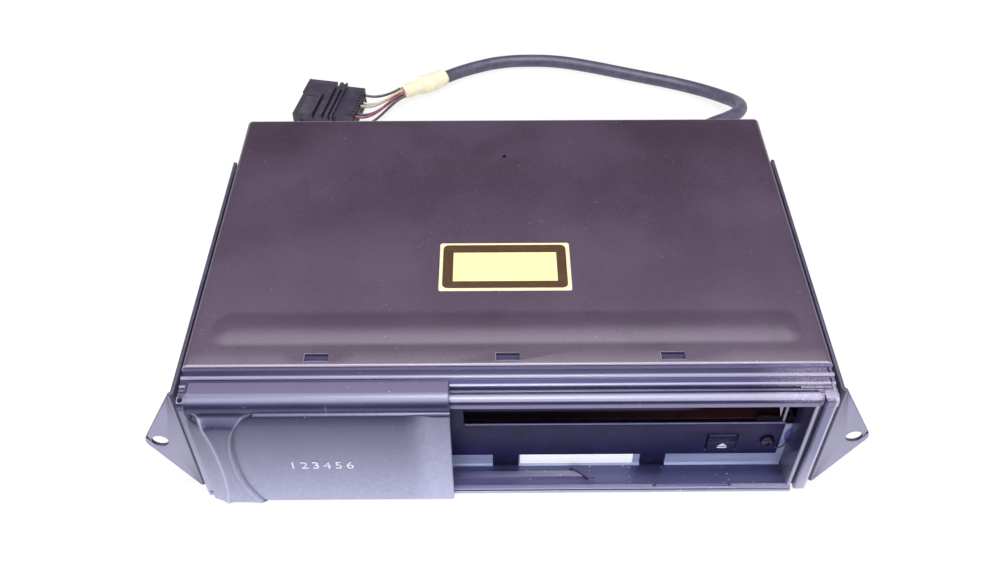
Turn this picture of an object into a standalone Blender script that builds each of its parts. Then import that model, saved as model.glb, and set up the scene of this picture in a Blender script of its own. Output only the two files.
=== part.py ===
"""Six-disc magazine changer for a car: steel case, sliding two-leaf door, and the playing unit inside.

Metres, +Z up. Places are measured on the bench: X from the middle of the case, Y from the front plane
of the bezel towards the back, Z from the bottom of the case. An empty then carries everything back so
that the origin is under the middle of the whole part, without its cable.
"""

import math

import bmesh
import bpy
from mathutils import Matrix, Vector

# Case
CASE_WIDTH = 0.255
CASE_DEPTH = 0.175
CASE_HEIGHT = 0.065
GAP = 0.0003
OVERRUN = 0.004

# Top cover
COVER_SHEET = 0.0008
COVER_EDGE_RADIUS = 0.0025
COVER_LIFT = 0.0005
BEAD_FROM_FRONT = 0.011
BEAD_DEPTH = 0.016
BEAD_HEIGHT = 0.0009
BEAD_INSET = 0.009
BEAD_CORNER = 0.0065
WINDOW_WIDTH = 0.0093
WINDOW_DEPTH = 0.0038
WINDOW_FROM_FRONT = 0.0021
WINDOW_PLACE_SHARES = (-0.59, 0.0, 0.51)
COVER_HOLE_RADIUS = 0.001
COVER_HOLE_FROM_BACK = 0.03

# Base pan
PAN_SHEET = 0.001
PAN_SIDE_HEIGHT = 0.048

# Side brackets and their screws
BRACKET_SHEET = 0.0015
BRACKET_STANDOFF = 0.0007
BRACKET_FRONT = 0.0041
BRACKET_FROM_BACK = 0.031
BRACKET_DROP = 0.002
BRACKET_REAR_SLOPE = 0.012
BEND_RADIUS = 0.0022
EAR_HOLE_OUT = 0.0106
EAR_HOLE_HEIGHT = 0.033
EAR_HOLE_RADIUS = 0.0033
EAR_TIP_RADIUS = 0.0058
SCREW_RADIUS = 0.0015
SCREW_LENGTH = 0.0055
SCREW_HEAD_RADIUS = 0.003
SCREW_HEAD_HEIGHT = 0.0018
SCREW_CLEARANCE = 0.0004
SCREW_PLACE_SHARES = (0.24, 0.86)
SCREW_HEIGHT = 0.03

# Bezel
BEZEL_DEPTH = 0.0164
BEZEL_INSET = 0.0005
BEZEL_LIFT = 0.0004
BEZEL_WALL = 0.002
BEZEL_PROUD = 0.0006
BEAM_DROP = 0.0024
BEAM_HEIGHT = 0.0056
BEAM_SETBACK = 0.002
NOSE_RADIUS = 0.0013
TRACK_STEP = 0.0004
TRACK_BACK = 0.0084
TRACK_GROOVE_WIDTH = 0.001
TRACK_GROOVE_DEPTH = 0.002
NEAR_TRACK = 0.0050
FAR_TRACK = 0.0070
FAR_TRACK_SHORT = 0.0074
NEAR_TRACK_SHORT = 0.0009
RIB_PLACE = 0.0112
RIB_RADIUS = 0.0008
COLUMN_RIGHT = 0.0063
COLUMN_LEFT = 0.0016
COLUMN_RADIUS = 0.0019
DOOR_NOTCH_WIDTH = 0.002
DOOR_NOTCH_DEPTH = 0.0032
RIM_WIDTH = 0.0021
OPENING_WIDTH = 0.1425
FLOOR_TOP = 0.0022
FLOOR_DEPTH = 0.0122
LIP_TOP = 0.003
LIP_DEPTH = 0.0022
LIP_PROUD = 0.0001
FOOT_GROOVE_LOW = 0.0011
FOOT_GROOVE_HIGH = 0.0022
FOOT_GROOVE_DEPTH = 0.0012
LIP_STEP_FROM_RIGHT = 0.023
LIP_STEP_WIDTH = 0.031
LIP_STEP_HEIGHT = 0.001
FLOOR_RAIL_FRONT = 0.0054
FLOOR_RAIL_DEPTH = 0.0052
FLOOR_RAIL_HEIGHT = 0.0011
FLOOR_RAIL_LENGTH = 0.0395
FLOOR_RAIL_SLANT = 0.0055
TONGUE_LENGTH = 0.008
TONGUE_SHEET = 0.0012
TONGUE_ROOT = 0.0005
BARB_HEIGHT = 0.0007

# Door leaves
INNER_LEAF = 0.0009
INNER_FLANGE = 0.0007
INNER_LENGTH = 0.058
INNER_FOOT = 0.0027
INNER_START = 0.030
LEAF_HOOK = 0.0004
LEAF_HOOK_DEPTH = 0.0014
OUTER_FLANGE = 0.0013
OUTER_FOOT = 0.0004
OUTER_BACK_REACH = 0.0007
DOOR_LENGTH = 0.1013
DOOR_PROUD = 0.0038
GRIP_PROUD = 0.0056
GRIP_LEFT = 0.0068
GRIP_WIDTH = 0.0096
FOOT_FLANGE = 0.0005
DOOR_HOOK_INSET = 0.010
DOOR_OVERLAP = 0.004

# Slot panel and eject button
PANEL_FRONT = 0.012
PANEL_SHEET = 0.0012
PANEL_BOTTOM = 0.0096
PANEL_SIDE_GAP = 0.0018
SLOT_BOTTOM = 0.0325
SLOT_FROM_RIGHT = 0.0035
SLOT_WIDTH = 0.131
PANEL_LEFT_REACH = 0.016
BUTTON_FROM_RIGHT = 0.0265
BUTTON_HEIGHT_AT = 0.0197
BUTTON_WIDTH = 0.0122
BUTTON_TALL = 0.0102
BUTTON_PROUD = 0.0007
BUTTON_FLANGE = 0.0015
BUTTON_FLANGE_SHEET = 0.0012
BUTTON_STEM_WIDTH = 0.004
BUTTON_STEM_TALL = 0.003
BUTTON_STEM_LENGTH = 0.0043
BUTTON_TRAVEL = 0.0022
PANEL_SCREW_FROM_RIGHT = 0.0075

# Eject lever
LEVER_ARM = 0.014
LEVER_WIDTH = 0.003
LEVER_THICK = 0.003
LEVER_HUB_RADIUS = 0.0042
LEVER_REACH = 0.030
LEVER_HOOK = 0.0045
PIN_RADIUS = 0.0015
PIN_CLEARANCE = 0.0003
PIN_HEAD_RADIUS = 0.003
PIN_HEAD = 0.0012

# Chassis
CHASSIS_SHEET = 0.001
CHASSIS_LEFT_IN = 0.0055
CHASSIS_RIGHT_IN = 0.0089
CHASSIS_BACK_IN = 0.007
FLANGE_TOP = 0.0099
UPRIGHT_WIDTH = 0.0156
UPRIGHT_TOP = 0.0334
LEFT_WALL_TOP = 0.047
REAR_FLANGE_TOP = 0.010
STRIP_NOTCHES = ((-0.0060, 0.0050), (0.0570, 0.0646))
STANDOFF_RADIUS = 0.0025

# Magazine cage
CAGE_SHEET = 0.001
CAGE_FLOOR = 0.031
CAGE_TOP_GAP = 0.0024
LATCH_WINDOW = 0.012
CAGE_HOLE_RADIUS = 0.014

# Playing unit
DISC_PITCH = 0.004
DISC_COUNT = 6
RAMP_TRAVEL_RATIO = 1.2
UNIT_FRONT = 0.018
UNIT_LENGTH_SHARE = 0.935
SHOULDER_SHARE = 0.78
FRONT_FOLLOWER_SHARE = 0.2
BACK_FOLLOWER_SHARE = 0.69
GEAR_SHARE = 0.73
TAIL_HALF_WIDTH = 0.024
PLATE_LOW = 0.0268
PLATE_SHEET = 0.0012
SIDE_DEPTH = 0.0228
FOLLOWER_LOW = 0.0066
RAMP_SHEET = 0.0013
RAMP_LOW = 0.0029
RAMP_TOP = 0.0300
RAMP_MARGIN = 0.0055
TURNTABLE_FROM_FRONT = 0.070
TURNTABLE_FROM_LEFT = 0.0620
TURNTABLE_RADIUS = 0.014
HUB_RADIUS = 0.0073
HUB_HEIGHT = 0.0011
DISC_REST = 0.0325
SPINDLE_RADIUS = 0.001
SPINDLE_MOTOR_RADIUS = 0.012
SPINDLE_MOTOR_HEIGHT = 0.0064
SLED_LENGTH = 0.012
SLED_HEIGHT = 0.005
SLED_TRAVEL = 0.033
SLED_START = 0.024
SLED_SIDE = 0.004
ROD_SPREAD = 0.020
ROD_RADIUS = 0.0015
ROD_AXIS = 0.0236
BOSS_HALF = 0.0038
BOSS_LENGTH = 0.004
LENS_RADIUS = 0.0035
LENS_TOP = 0.0310
LENS_SEAT = 0.0290
SLED_MOTOR_RADIUS = 0.005
SLED_MOTOR_LENGTH = 0.016
LEAD_SCREW_PITCH = 0.003
CLAMP_AXIS_FROM_BACK = 0.0055
CLAMP_HEIGHT = 0.0373
CLAMP_SHEET = 0.0012
CLAMP_WIDTH = 0.013
CLAMP_BARREL_RADIUS = 0.0028
CLAMP_BARREL_HALF = 0.0097
CLAMP_LUG = 0.002
CLAMP_LUG_RADIUS = 0.0035
CLAMP_PIN_RADIUS = 0.0012
PUCK_RADIUS = 0.013
PUCK_LOW = 0.0340
PUCK_HEIGHT = 0.0024
PUCK_NECK_RADIUS = 0.0042
PUCK_CAP_RADIUS = 0.006
PUCK_CAP = 0.0007

# Lift drive
GEAR_MODULE = 0.001
GEAR_TEETH = 18
PINION_TEETH = 12
TOOTH_SLACK = 0.0003
RACK_PITCH_LINE = 0.031
PINION_ANGLE = 20
GEAR_BORE_RADIUS = 0.0018
LIFT_MOTOR_RADIUS = 0.006
LIFT_MOTOR_LENGTH = 0.021
CRADLE_INSET = 0.002

# Circuit board
BOARD_SHEET = 0.0016
BOARD_LOW = 0.0062
BOARD_MARGIN = 0.0035
BOARD_FRONT = 0.060
CHIP_HEIGHT = 0.002
SOCKET_HEIGHT = 0.008
CAPACITOR_RADIUS = 0.003
CAPACITOR_HEIGHT = 0.008

# Cable, in the order that it runs
CABLE_DIAMETER = 0.008
CABLE_FROM_RIGHT = 0.0235
CABLE_EXIT_HEIGHT = 0.024
GROMMET_BODY_RADIUS = 0.0056
GROMMET_FLANGE_RADIUS = 0.0078
GROMMET_FLANGE = 0.002
GROMMET_LENGTH = 0.020
TAPE_RADIUS = 0.0058
WIRE_COUNT = 6
WIRE_RADIUS = 0.0008
WIRE_ROW_HALF = 0.001
PLUG_TURN = -11
PLUG_LENGTH = 0.0245
PLUG_DEPTH = 0.034
PLUG_HEIGHT = 0.0135
PLUG_BODY_LENGTH = 0.011
PLUG_BODY_INSET = 0.0016
PLUG_RIB = 0.0012
PLUG_RIB_COUNT = 3
PLUG_PLACE = (-0.0968, 0.2640)

CABLE_ROUTE = (
    (0.1040, 0.1952, 0.0240),
    (0.1046, 0.2070, 0.0240),
    (0.1090, 0.2165, 0.0238),
    (0.1180, 0.2245, 0.0231),
    (0.1280, 0.2315, 0.0218),
    (0.1360, 0.2400, 0.0196),
    (0.1402, 0.2500, 0.0164),
    (0.1396, 0.2610, 0.0122),
    (0.1347, 0.2715, 0.0082),
    (0.1265, 0.2810, 0.0055),
    (0.1160, 0.2880, 0.0044),
    (0.1040, 0.2932, 0.0043),
    (0.0930, 0.2972, 0.0043),
    (0.0750, 0.3037, 0.0043),
    (0.0565, 0.3103, 0.0043),
    (0.0376, 0.3156, 0.0043),
    (0.0184, 0.3174, 0.0043),
    (-0.0010, 0.3153, 0.0043),
    (-0.0138, 0.3108, 0.0044),
    (-0.0264, 0.3040, 0.0048),
    (-0.0351, 0.2972, 0.0056),
)
TAPE_ROUTE = (
    (-0.0354, 0.2970, 0.0064),
    (-0.0430, 0.2915, 0.0064),
    (-0.0520, 0.2858, 0.0064),
    (-0.0605, 0.2806, 0.0064),
)
TAPE_RADIUS_SHARES = (0.84, 1.0, 0.98, 0.66)

# Counts that set how round things are
ARC_STEPS = 5
ROUND_STEPS = 24
SMALL_ROUND_STEPS = 12

# Places worked out from the sizes
HALF = CASE_WIDTH / 2
DOOR_FRONT = -GRIP_PROUD
MIDDLE_Y = (CASE_DEPTH + DOOR_FRONT) / 2
COVER_FRONT = BEZEL_DEPTH + GAP
BEZEL_HALF = HALF - BEZEL_INSET
BEAM_TOP = CASE_HEIGHT - BEAM_DROP
BEAM_BOTTOM = BEAM_TOP - BEAM_HEIGHT
TRACK_TOP = BEAM_TOP - TRACK_STEP
RIM_LEFT = BEZEL_HALF - COLUMN_RIGHT - DOOR_NOTCH_WIDTH - RIM_WIDTH
OPENING_LEFT = RIM_LEFT - OPENING_WIDTH
SLOT_RIGHT = RIM_LEFT - SLOT_FROM_RIGHT
SLOT_LEFT = SLOT_RIGHT - SLOT_WIDTH
INNER_LEAF_FRONT = -GAP - INNER_LEAF
OUTER_LEAF_BACK = INNER_LEAF_FRONT - GAP
INNER_TOP = TRACK_TOP + GAP + INNER_FLANGE
OUTER_UNDERSIDE = INNER_TOP + GAP
OUTER_TOP = OUTER_UNDERSIDE + OUTER_FLANGE
DOOR_LEFT = -BEZEL_HALF + COLUMN_LEFT + COLUMN_LEFT
DOOR_RIGHT = DOOR_LEFT + DOOR_LENGTH
DOOR_CLOSED_RIGHT = BEZEL_HALF - COLUMN_RIGHT - GAP
DOOR_TRAVEL = DOOR_CLOSED_RIGHT - DOOR_RIGHT
INNER_LEFT = DOOR_LEFT + INNER_START
INNER_TRAVEL = DOOR_LEFT + DOOR_TRAVEL + DOOR_OVERLAP - INNER_LEFT - INNER_LENGTH
PANEL_BACK = PANEL_FRONT + PANEL_SHEET
PANEL_RIGHT = RIM_LEFT - PANEL_SIDE_GAP
BUTTON_X = RIM_LEFT - BUTTON_FROM_RIGHT
CHASSIS_FRONT = PANEL_BACK + GAP
CHASSIS_BACK = CASE_DEPTH - CHASSIS_BACK_IN
CHASSIS_LEFT = -HALF + CHASSIS_LEFT_IN
CHASSIS_RIGHT = HALF - CHASSIS_RIGHT_IN
CHASSIS_LOW = PAN_SHEET + GAP
CHASSIS_FLOOR = CHASSIS_LOW + CHASSIS_SHEET
MID_WALL_LEFT = SLOT_LEFT - CHASSIS_SHEET
CAGE_CEILING = CASE_HEIGHT - COVER_SHEET - CAGE_TOP_GAP
LIFT_TRAVEL = (DISC_COUNT - 1) * DISC_PITCH
RAMP_TRAVEL = LIFT_TRAVEL * RAMP_TRAVEL_RATIO
RAMP_LEFT_OUT = CHASSIS_LEFT + CHASSIS_SHEET + GAP
RAMP_RIGHT_OUT = MID_WALL_LEFT - GAP
UNIT_LEFT = RAMP_LEFT_OUT + RAMP_SHEET + GAP
UNIT_RIGHT = RAMP_RIGHT_OUT - RAMP_SHEET - GAP
UNIT_SPAN = CHASSIS_BACK - UNIT_FRONT
UNIT_BACK = UNIT_FRONT + UNIT_SPAN * UNIT_LENGTH_SHARE
UNIT_SHOULDER = UNIT_FRONT + UNIT_SPAN * SHOULDER_SHARE
FRONT_FOLLOWER = UNIT_FRONT + UNIT_SPAN * FRONT_FOLLOWER_SHARE
BACK_FOLLOWER = UNIT_FRONT + UNIT_SPAN * BACK_FOLLOWER_SHARE
TURNTABLE_X = CHASSIS_LEFT + TURNTABLE_FROM_LEFT
TURNTABLE_Y = UNIT_FRONT + TURNTABLE_FROM_FRONT
PLATE_TOP = PLATE_LOW + PLATE_SHEET
SLED_TOP = PLATE_LOW - GAP
SLED_Y = TURNTABLE_Y - SLED_START
CLAMP_Y = UNIT_BACK - CLAMP_AXIS_FROM_BACK
GEAR_RADIUS = GEAR_MODULE * GEAR_TEETH / 2
PINION_RADIUS = GEAR_MODULE * PINION_TEETH / 2
GEAR_Y = UNIT_FRONT + UNIT_SPAN * GEAR_SHARE
GEAR_Z = RACK_PITCH_LINE + GEAR_RADIUS
PINION_Y = GEAR_Y + (GEAR_RADIUS + PINION_RADIUS) * math.cos(math.radians(PINION_ANGLE))
PINION_Z = GEAR_Z + (GEAR_RADIUS + PINION_RADIUS) * math.sin(math.radians(PINION_ANGLE))
LEVER_X = BUTTON_X - LEVER_ARM
LEVER_FACE = CHASSIS_FRONT + BUTTON_FLANGE_SHEET + BUTTON_STEM_LENGTH + GAP
LEVER_Y = LEVER_FACE + LEVER_WIDTH / 2
LEVER_LOW = BUTTON_HEIGHT_AT - LEVER_THICK / 2
CABLE_X = HALF - CABLE_FROM_RIGHT

TURN_TO_AXIS = {
    "X": Matrix(((0, 0, 1, 0), (1, 0, 0, 0), (0, 1, 0, 0), (0, 0, 0, 1))),
    "Y": Matrix(((1, 0, 0, 0), (0, 0, -1, 0), (0, 1, 0, 0), (0, 0, 0, 1))),
    "Z": Matrix.Identity(4),
}


def clear_scene():
    for obj in list(bpy.data.objects):
        bpy.data.objects.remove(obj, do_unlink=True)


def new_collection(name):
    collection = bpy.data.collections.new(name)
    bpy.context.scene.collection.children.link(collection)
    return collection


def colour_of(code):
    """An sRGB hex code as linear red, green, blue and alpha."""
    shares = [int(code[i : i + 2], 16) / 255 for i in (1, 3, 5)]
    linear = [s / 12.92 if s <= 0.04045 else ((s + 0.055) / 1.055) ** 2.4 for s in shares]
    return (*linear, 1.0)


def material(name, code, roughness, metallic=0.0):
    found = bpy.data.materials.get(name)
    if found:
        return found
    made = bpy.data.materials.new(name)
    made.use_nodes = True
    shader = made.node_tree.nodes["Principled BSDF"]
    shader.inputs["Base Color"].default_value = colour_of(code)
    shader.inputs["Roughness"].default_value = roughness
    shader.inputs["Metallic"].default_value = metallic
    made.diffuse_color = colour_of(code)
    return made


def black_steel():
    return material("black_steel", "#26242A", 0.55, 0.2)


def zinc_steel():
    return material("zinc_steel", "#9AA0B4", 0.35, 0.9)


def bright_steel():
    return material("bright_steel", "#C9CBD0", 0.25, 1.0)


def black_moulding():
    return material("black_moulding", "#2B2A33", 0.45)


def dark_moulding():
    return material("dark_moulding", "#1D1B22", 0.5)


def white_moulding():
    return material("white_moulding", "#D8D6CC", 0.5)


def soft_rubber():
    return material("soft_rubber", "#1F1E22", 0.7)


def part(name, mesh, finish, at=None):
    """A part whose mesh is drawn in bench places; its origin is moved to the point at, as on a joint."""
    origin = Vector(at or (0, 0, 0))
    mesh.transform(Matrix.Translation(-origin))
    mesh.name = name
    mesh.materials.clear()
    mesh.materials.append(finish)
    mesh.shade_smooth()
    mesh.set_sharp_from_angle(angle=math.radians(30))
    obj = bpy.data.objects.new(name, mesh)
    obj.location = origin
    obj.parent = BENCH
    PARTS.objects.link(obj)
    return obj


def helper(name, mesh):
    """A solid that only cuts or joins."""
    obj = bpy.data.objects.new(name, mesh)
    obj.parent = BENCH
    obj.hide_render = True
    obj.display_type = "WIRE"
    CUTTERS.objects.link(obj)
    return obj


def combine(obj, operation, meshes):
    """Cuts the meshes from an object, or joins them to it, one after the other."""
    for count, mesh in enumerate(meshes):
        label = f"{obj.name}_{operation.lower()}_{count}"
        modifier = obj.modifiers.new(label, "BOOLEAN")
        modifier.operation = operation
        modifier.object = helper(label, mesh)


def cut(obj, *meshes):
    combine(obj, "DIFFERENCE", meshes)


def join(obj, *meshes):
    combine(obj, "UNION", meshes)


def mesh_from_bmesh(work):
    bmesh.ops.recalc_face_normals(work, faces=work.faces)
    mesh = bpy.data.meshes.new("solid")
    work.to_mesh(mesh)
    work.free()
    return mesh


def box_mesh(low, high):
    """A box between two corners."""
    work = bmesh.new()
    bmesh.ops.create_cube(work, size=1)
    for vert in work.verts:
        for axis in range(3):
            middle = (low[axis] + high[axis]) / 2
            vert.co[axis] = middle + vert.co[axis] * (high[axis] - low[axis])
    return mesh_from_bmesh(work)


def tray_mesh(low, high, wall, open_sides, radius=0.0, bend_axes=""):
    """A box of sheet, open on the named sides such as "-Z", with its remaining edges bent to a radius."""
    work = bmesh.new()
    bmesh.ops.create_cube(work, size=1)
    for vert in work.verts:
        for axis in range(3):
            middle = (low[axis] + high[axis]) / 2
            vert.co[axis] = middle + vert.co[axis] * (high[axis] - low[axis])
    gone = [face for face in work.faces if side_of(face.normal) in open_sides]
    kept = {face for face in work.faces if face not in gone}
    if radius:
        bends = [
            edge
            for edge in work.edges
            if set(edge.link_faces) <= kept and side_of(edge_direction(edge))[1] in bend_axes
        ]
    bmesh.ops.delete(work, geom=gone, context="FACES_ONLY")
    if radius:
        bmesh.ops.bevel(work, geom=bends, offset=radius, segments=ARC_STEPS - 2, affect="EDGES", profile=0.5)
    bmesh.ops.recalc_face_normals(work, faces=work.faces)
    centre = (Vector(low) + Vector(high)) / 2
    outward = sum((face.normal.dot(face.calc_center_median() - centre) for face in work.faces), 0.0)
    if outward < 0:
        bmesh.ops.reverse_faces(work, faces=work.faces)
    mesh = bpy.data.meshes.new("tray")
    work.to_mesh(mesh)
    work.free()
    return solidified(mesh, wall)


def side_of(direction):
    axis = max(range(3), key=lambda i: abs(direction[i]))
    return ("-" if direction[axis] < 0 else "+") + "XYZ"[axis]


def edge_direction(edge):
    return edge.verts[1].co - edge.verts[0].co


def evaluated_mesh(obj):
    """The object's mesh after its modifiers, or a curve's mesh, as a new mesh; the object is removed."""
    bpy.context.scene.collection.objects.link(obj)
    bpy.context.view_layer.update()
    graph = bpy.context.evaluated_depsgraph_get()
    mesh = bpy.data.meshes.new_from_object(obj.evaluated_get(graph))
    bpy.data.objects.remove(obj, do_unlink=True)
    return mesh


def solidified(mesh, wall):
    """An open sheet given its wall on the inner side."""
    obj = bpy.data.objects.new("sheet", mesh)
    modifier = obj.modifiers.new("Wall", "SOLIDIFY")
    modifier.thickness = wall
    modifier.offset = -1
    modifier.use_even_offset = True
    return evaluated_mesh(obj)


def bevelled(mesh, width, angle=60, segments=1):
    """A mesh with its sharper edges bevelled."""
    obj = bpy.data.objects.new("bevelled", mesh)
    modifier = obj.modifiers.new("Edges", "BEVEL")
    modifier.width = width
    modifier.segments = segments
    modifier.limit_method = "ANGLE"
    modifier.angle_limit = math.radians(angle)
    return evaluated_mesh(obj)


def welded(mesh):
    work = bmesh.new()
    work.from_mesh(mesh)
    bmesh.ops.remove_doubles(work, verts=work.verts, dist=WELD)
    bmesh.ops.recalc_face_normals(work, faces=work.faces)
    work.to_mesh(mesh)
    work.free()
    return mesh


def plate_mesh(outline, low, high, axis, holes=()):
    """A flat outline with holes, filled and drawn out along an axis from low to high.

    Along X the outline's points are (y, z), along Y they are (x, z), and along Z they are (x, y).
    """
    curve = bpy.data.curves.new("outline", "CURVE")
    curve.dimensions = "2D"
    curve.fill_mode = "BOTH"
    curve.extrude = (high - low) / 2
    for ring in (outline, *holes):
        spline = curve.splines.new("POLY")
        spline.points.add(len(ring) - 1)
        for point, (u, v) in zip(spline.points, ring):
            point.co = (u, v, 0, 1)
        spline.use_cyclic_u = True
    mesh = evaluated_mesh(bpy.data.objects.new("outline", curve))
    middle = Vector((0, 0, 0))
    middle["XYZ".index(axis)] = (low + high) / 2
    mesh.transform(Matrix.Translation(middle) @ TURN_TO_AXIS[axis])
    return welded(mesh)


def turned_mesh(profile, at, axis="Z", steps=ROUND_STEPS):
    """A profile of (radius, height) points, from the top of its outer side down, turned about an axis."""
    mesh = bpy.data.meshes.new("turned")
    points = [(radius, 0, height) for radius, height in profile]
    mesh.from_pydata(points, [(i, i + 1) for i in range(len(points) - 1)], [])
    obj = bpy.data.objects.new("turned", mesh)
    modifier = obj.modifiers.new("Turn", "SCREW")
    modifier.axis = "Z"
    modifier.steps = steps
    modifier.render_steps = steps
    modifier.use_merge_vertices = True
    modifier.merge_threshold = WELD
    made = evaluated_mesh(obj)
    made.transform(Matrix.Translation(Vector(at)) @ TURN_TO_AXIS[axis])
    return welded(made)


def rod_mesh(radius, start, length, axis="Z", steps=ROUND_STEPS):
    """A plain round rod that starts at a point and runs along +X, -Y or +Z."""
    return turned_mesh(((0, length), (radius, length), (radius, 0), (0, 0)), start, axis, steps)


def ring_points(centre, radius, steps=ROUND_STEPS, start=0.0):
    turn = 2 * math.pi / steps
    return [
        (centre[0] + radius * math.cos(start + i * turn), centre[1] + radius * math.sin(start + i * turn))
        for i in range(steps)
    ]


def rectangle(u0, v0, u1, v1):
    return [(u0, v0), (u1, v0), (u1, v1), (u0, v1)]


def filleted(corners):
    """An outline from (u, v, radius) corners; a corner with a radius becomes an arc."""
    points = []
    for index, (u, v, radius) in enumerate(corners):
        here = Vector((u, v))
        if not radius:
            points.append((u, v))
            continue
        before = Vector(corners[index - 1][:2]) - here
        after = Vector(corners[(index + 1) % len(corners)][:2]) - here
        half_angle = before.angle(after) / 2
        reach = radius / math.tan(half_angle)
        centre = here + (before.normalized() + after.normalized()).normalized() * radius / math.sin(half_angle)
        first = here + before.normalized() * reach - centre
        sweep = first.angle_signed(here + after.normalized() * reach - centre)
        start = math.atan2(first.y, first.x)
        for step in range(ARC_STEPS + 1):
            angle = start - sweep * step / ARC_STEPS
            points.append((centre.x + radius * math.cos(angle), centre.y + radius * math.sin(angle)))
    return points


def rounded_rectangle(u0, v0, u1, v1, radius):
    return filleted([(u0, v0, radius), (u1, v0, radius), (u1, v1, radius), (u0, v1, radius)])


def stadium(start, end, radius):
    """The outline of a slot between two centres."""
    along = Vector(end) - Vector(start)
    heading = math.atan2(along.y, along.x)
    points = []
    for centre, turn in ((end, -math.pi / 2), (start, math.pi / 2)):
        for step in range(ARC_STEPS + 1):
            angle = heading + turn + math.pi * step / ARC_STEPS
            points.append((centre[0] + radius * math.cos(angle), centre[1] + radius * math.sin(angle)))
    return points


def smooth_route(points, spacing):
    """Evenly spaced points along a Catmull-Rom curve through the route's own points."""
    ends = [Vector(points[0]) * 2 - Vector(points[1]), Vector(points[-1]) * 2 - Vector(points[-2])]
    known = [ends[0], *map(Vector, points), ends[1]]
    fine = []
    for a, b, c, d in zip(known, known[1:], known[2:], known[3:]):
        for step in range(ROUND_STEPS):
            t = step / ROUND_STEPS
            fine.append(
                (b * 2 + (c - a) * t + (a * 2 - b * 5 + c * 4 - d) * t**2 + (b * 3 - a - c * 3 + d) * t**3) / 2
            )
    fine.append(known[-2])
    count = max(2, round(sum((b - a).length for a, b in zip(fine, fine[1:])) / spacing))
    return even_points(fine, count)


def even_points(fine, count):
    total = sum((b - a).length for a, b in zip(fine, fine[1:]))
    made, run, target = [fine[0]], 0.0, total / count
    for a, b in zip(fine, fine[1:]):
        step = (b - a).length
        while run + step >= target and len(made) < count:
            made.append(a.lerp(b, (target - run) / step))
            target += total / count
        run += step
    made.append(fine[-1])
    return made


def tube_mesh(points, radius, radius_shares=None, resolution=2):
    """A round tube through points, as a bevelled curve with closed ends."""
    curve = bpy.data.curves.new("tube", "CURVE")
    curve.dimensions = "3D"
    curve.bevel_depth = radius
    curve.bevel_resolution = resolution
    curve.use_fill_caps = True
    spline = curve.splines.new("POLY")
    spline.points.add(len(points) - 1)
    for index, (point, place) in enumerate(zip(spline.points, points)):
        point.co = (*place, 1)
        if radius_shares:
            point.radius = radius_shares[index]
    return welded(evaluated_mesh(bpy.data.objects.new("tube", curve)))


def loft_mesh(rings):
    """A solid through closed rings of points, each as long as the next, with flat ends."""
    work = bmesh.new()
    loops = [[work.verts.new(point) for point in ring] for ring in rings]
    for first, second in zip(loops, loops[1:]):
        for i, vert in enumerate(first):
            after = (i + 1) % len(first)
            work.faces.new((vert, first[after], second[after], second[i]))
    work.faces.new(loops[0])
    work.faces.new(reversed(loops[-1]))
    return mesh_from_bmesh(work)


def make_top_cover():
    top = CASE_HEIGHT
    shell = tray_mesh(
        (-HALF, COVER_FRONT, COVER_LIFT),
        (HALF, CASE_DEPTH, top),
        COVER_SHEET,
        ("-Y", "-Z"),
        COVER_EDGE_RADIUS,
        "XYZ",
    )
    obj = part("top_cover", shell, black_steel())
    bead_front = COVER_FRONT + BEAD_FROM_FRONT
    across = HALF - BEAD_INSET

    def bead(low, high, grow):
        outline = rounded_rectangle(
            -across - grow, bead_front - grow, across + grow, bead_front + BEAD_DEPTH + grow, BEAD_CORNER
        )
        return bevelled(plate_mesh(outline, low, high, "Z"), BEAD_HEIGHT)

    join(obj, bead(top - COVER_SHEET * 0.5 - BEAD_HEIGHT, top + BEAD_HEIGHT, 0))
    cut(obj, bead(top - COVER_SHEET - OVERRUN, top + BEAD_HEIGHT - COVER_SHEET, -COVER_SHEET))
    for share in WINDOW_PLACE_SHARES:
        middle = HALF * share
        front = COVER_FRONT + WINDOW_FROM_FRONT
        low = (middle - WINDOW_WIDTH / 2, front, top - OVERRUN)
        high = (middle + WINDOW_WIDTH / 2, front + WINDOW_DEPTH, top + OVERRUN)
        cut(obj, box_mesh(low, high))
    hole_start = (0, CASE_DEPTH - COVER_HOLE_FROM_BACK, top - OVERRUN)
    cut(obj, rod_mesh(COVER_HOLE_RADIUS, hole_start, OVERRUN * 2, steps=SMALL_ROUND_STEPS))
    cable_hole = (CABLE_X, CASE_DEPTH + OVERRUN, CABLE_EXIT_HEIGHT)
    cut(obj, rod_mesh(GROMMET_BODY_RADIUS + GAP, cable_hole, OVERRUN * 2, "Y"))
    cut(obj, *bracket_screw_holes())


def bracket_length():
    return CASE_DEPTH - BRACKET_FROM_BACK - BRACKET_FRONT


def bracket_screw_places():
    """Side, name and Y of each screw through a bracket."""
    for side, side_name in ((-1, "left"), (1, "right")):
        for share, place_name in zip(SCREW_PLACE_SHARES, ("front", "rear")):
            yield side, f"{side_name}_{place_name}", BRACKET_FRONT + bracket_length() * share


def bracket_screw_holes():
    """One rod across the whole case for each pair of screws."""
    reach = HALF + OVERRUN
    return [
        rod_mesh(SCREW_RADIUS + SCREW_CLEARANCE, (-reach, y, SCREW_HEIGHT), reach * 2, "X", SMALL_ROUND_STEPS)
        for side, name, y in bracket_screw_places()
        if side > 0
    ]


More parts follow.
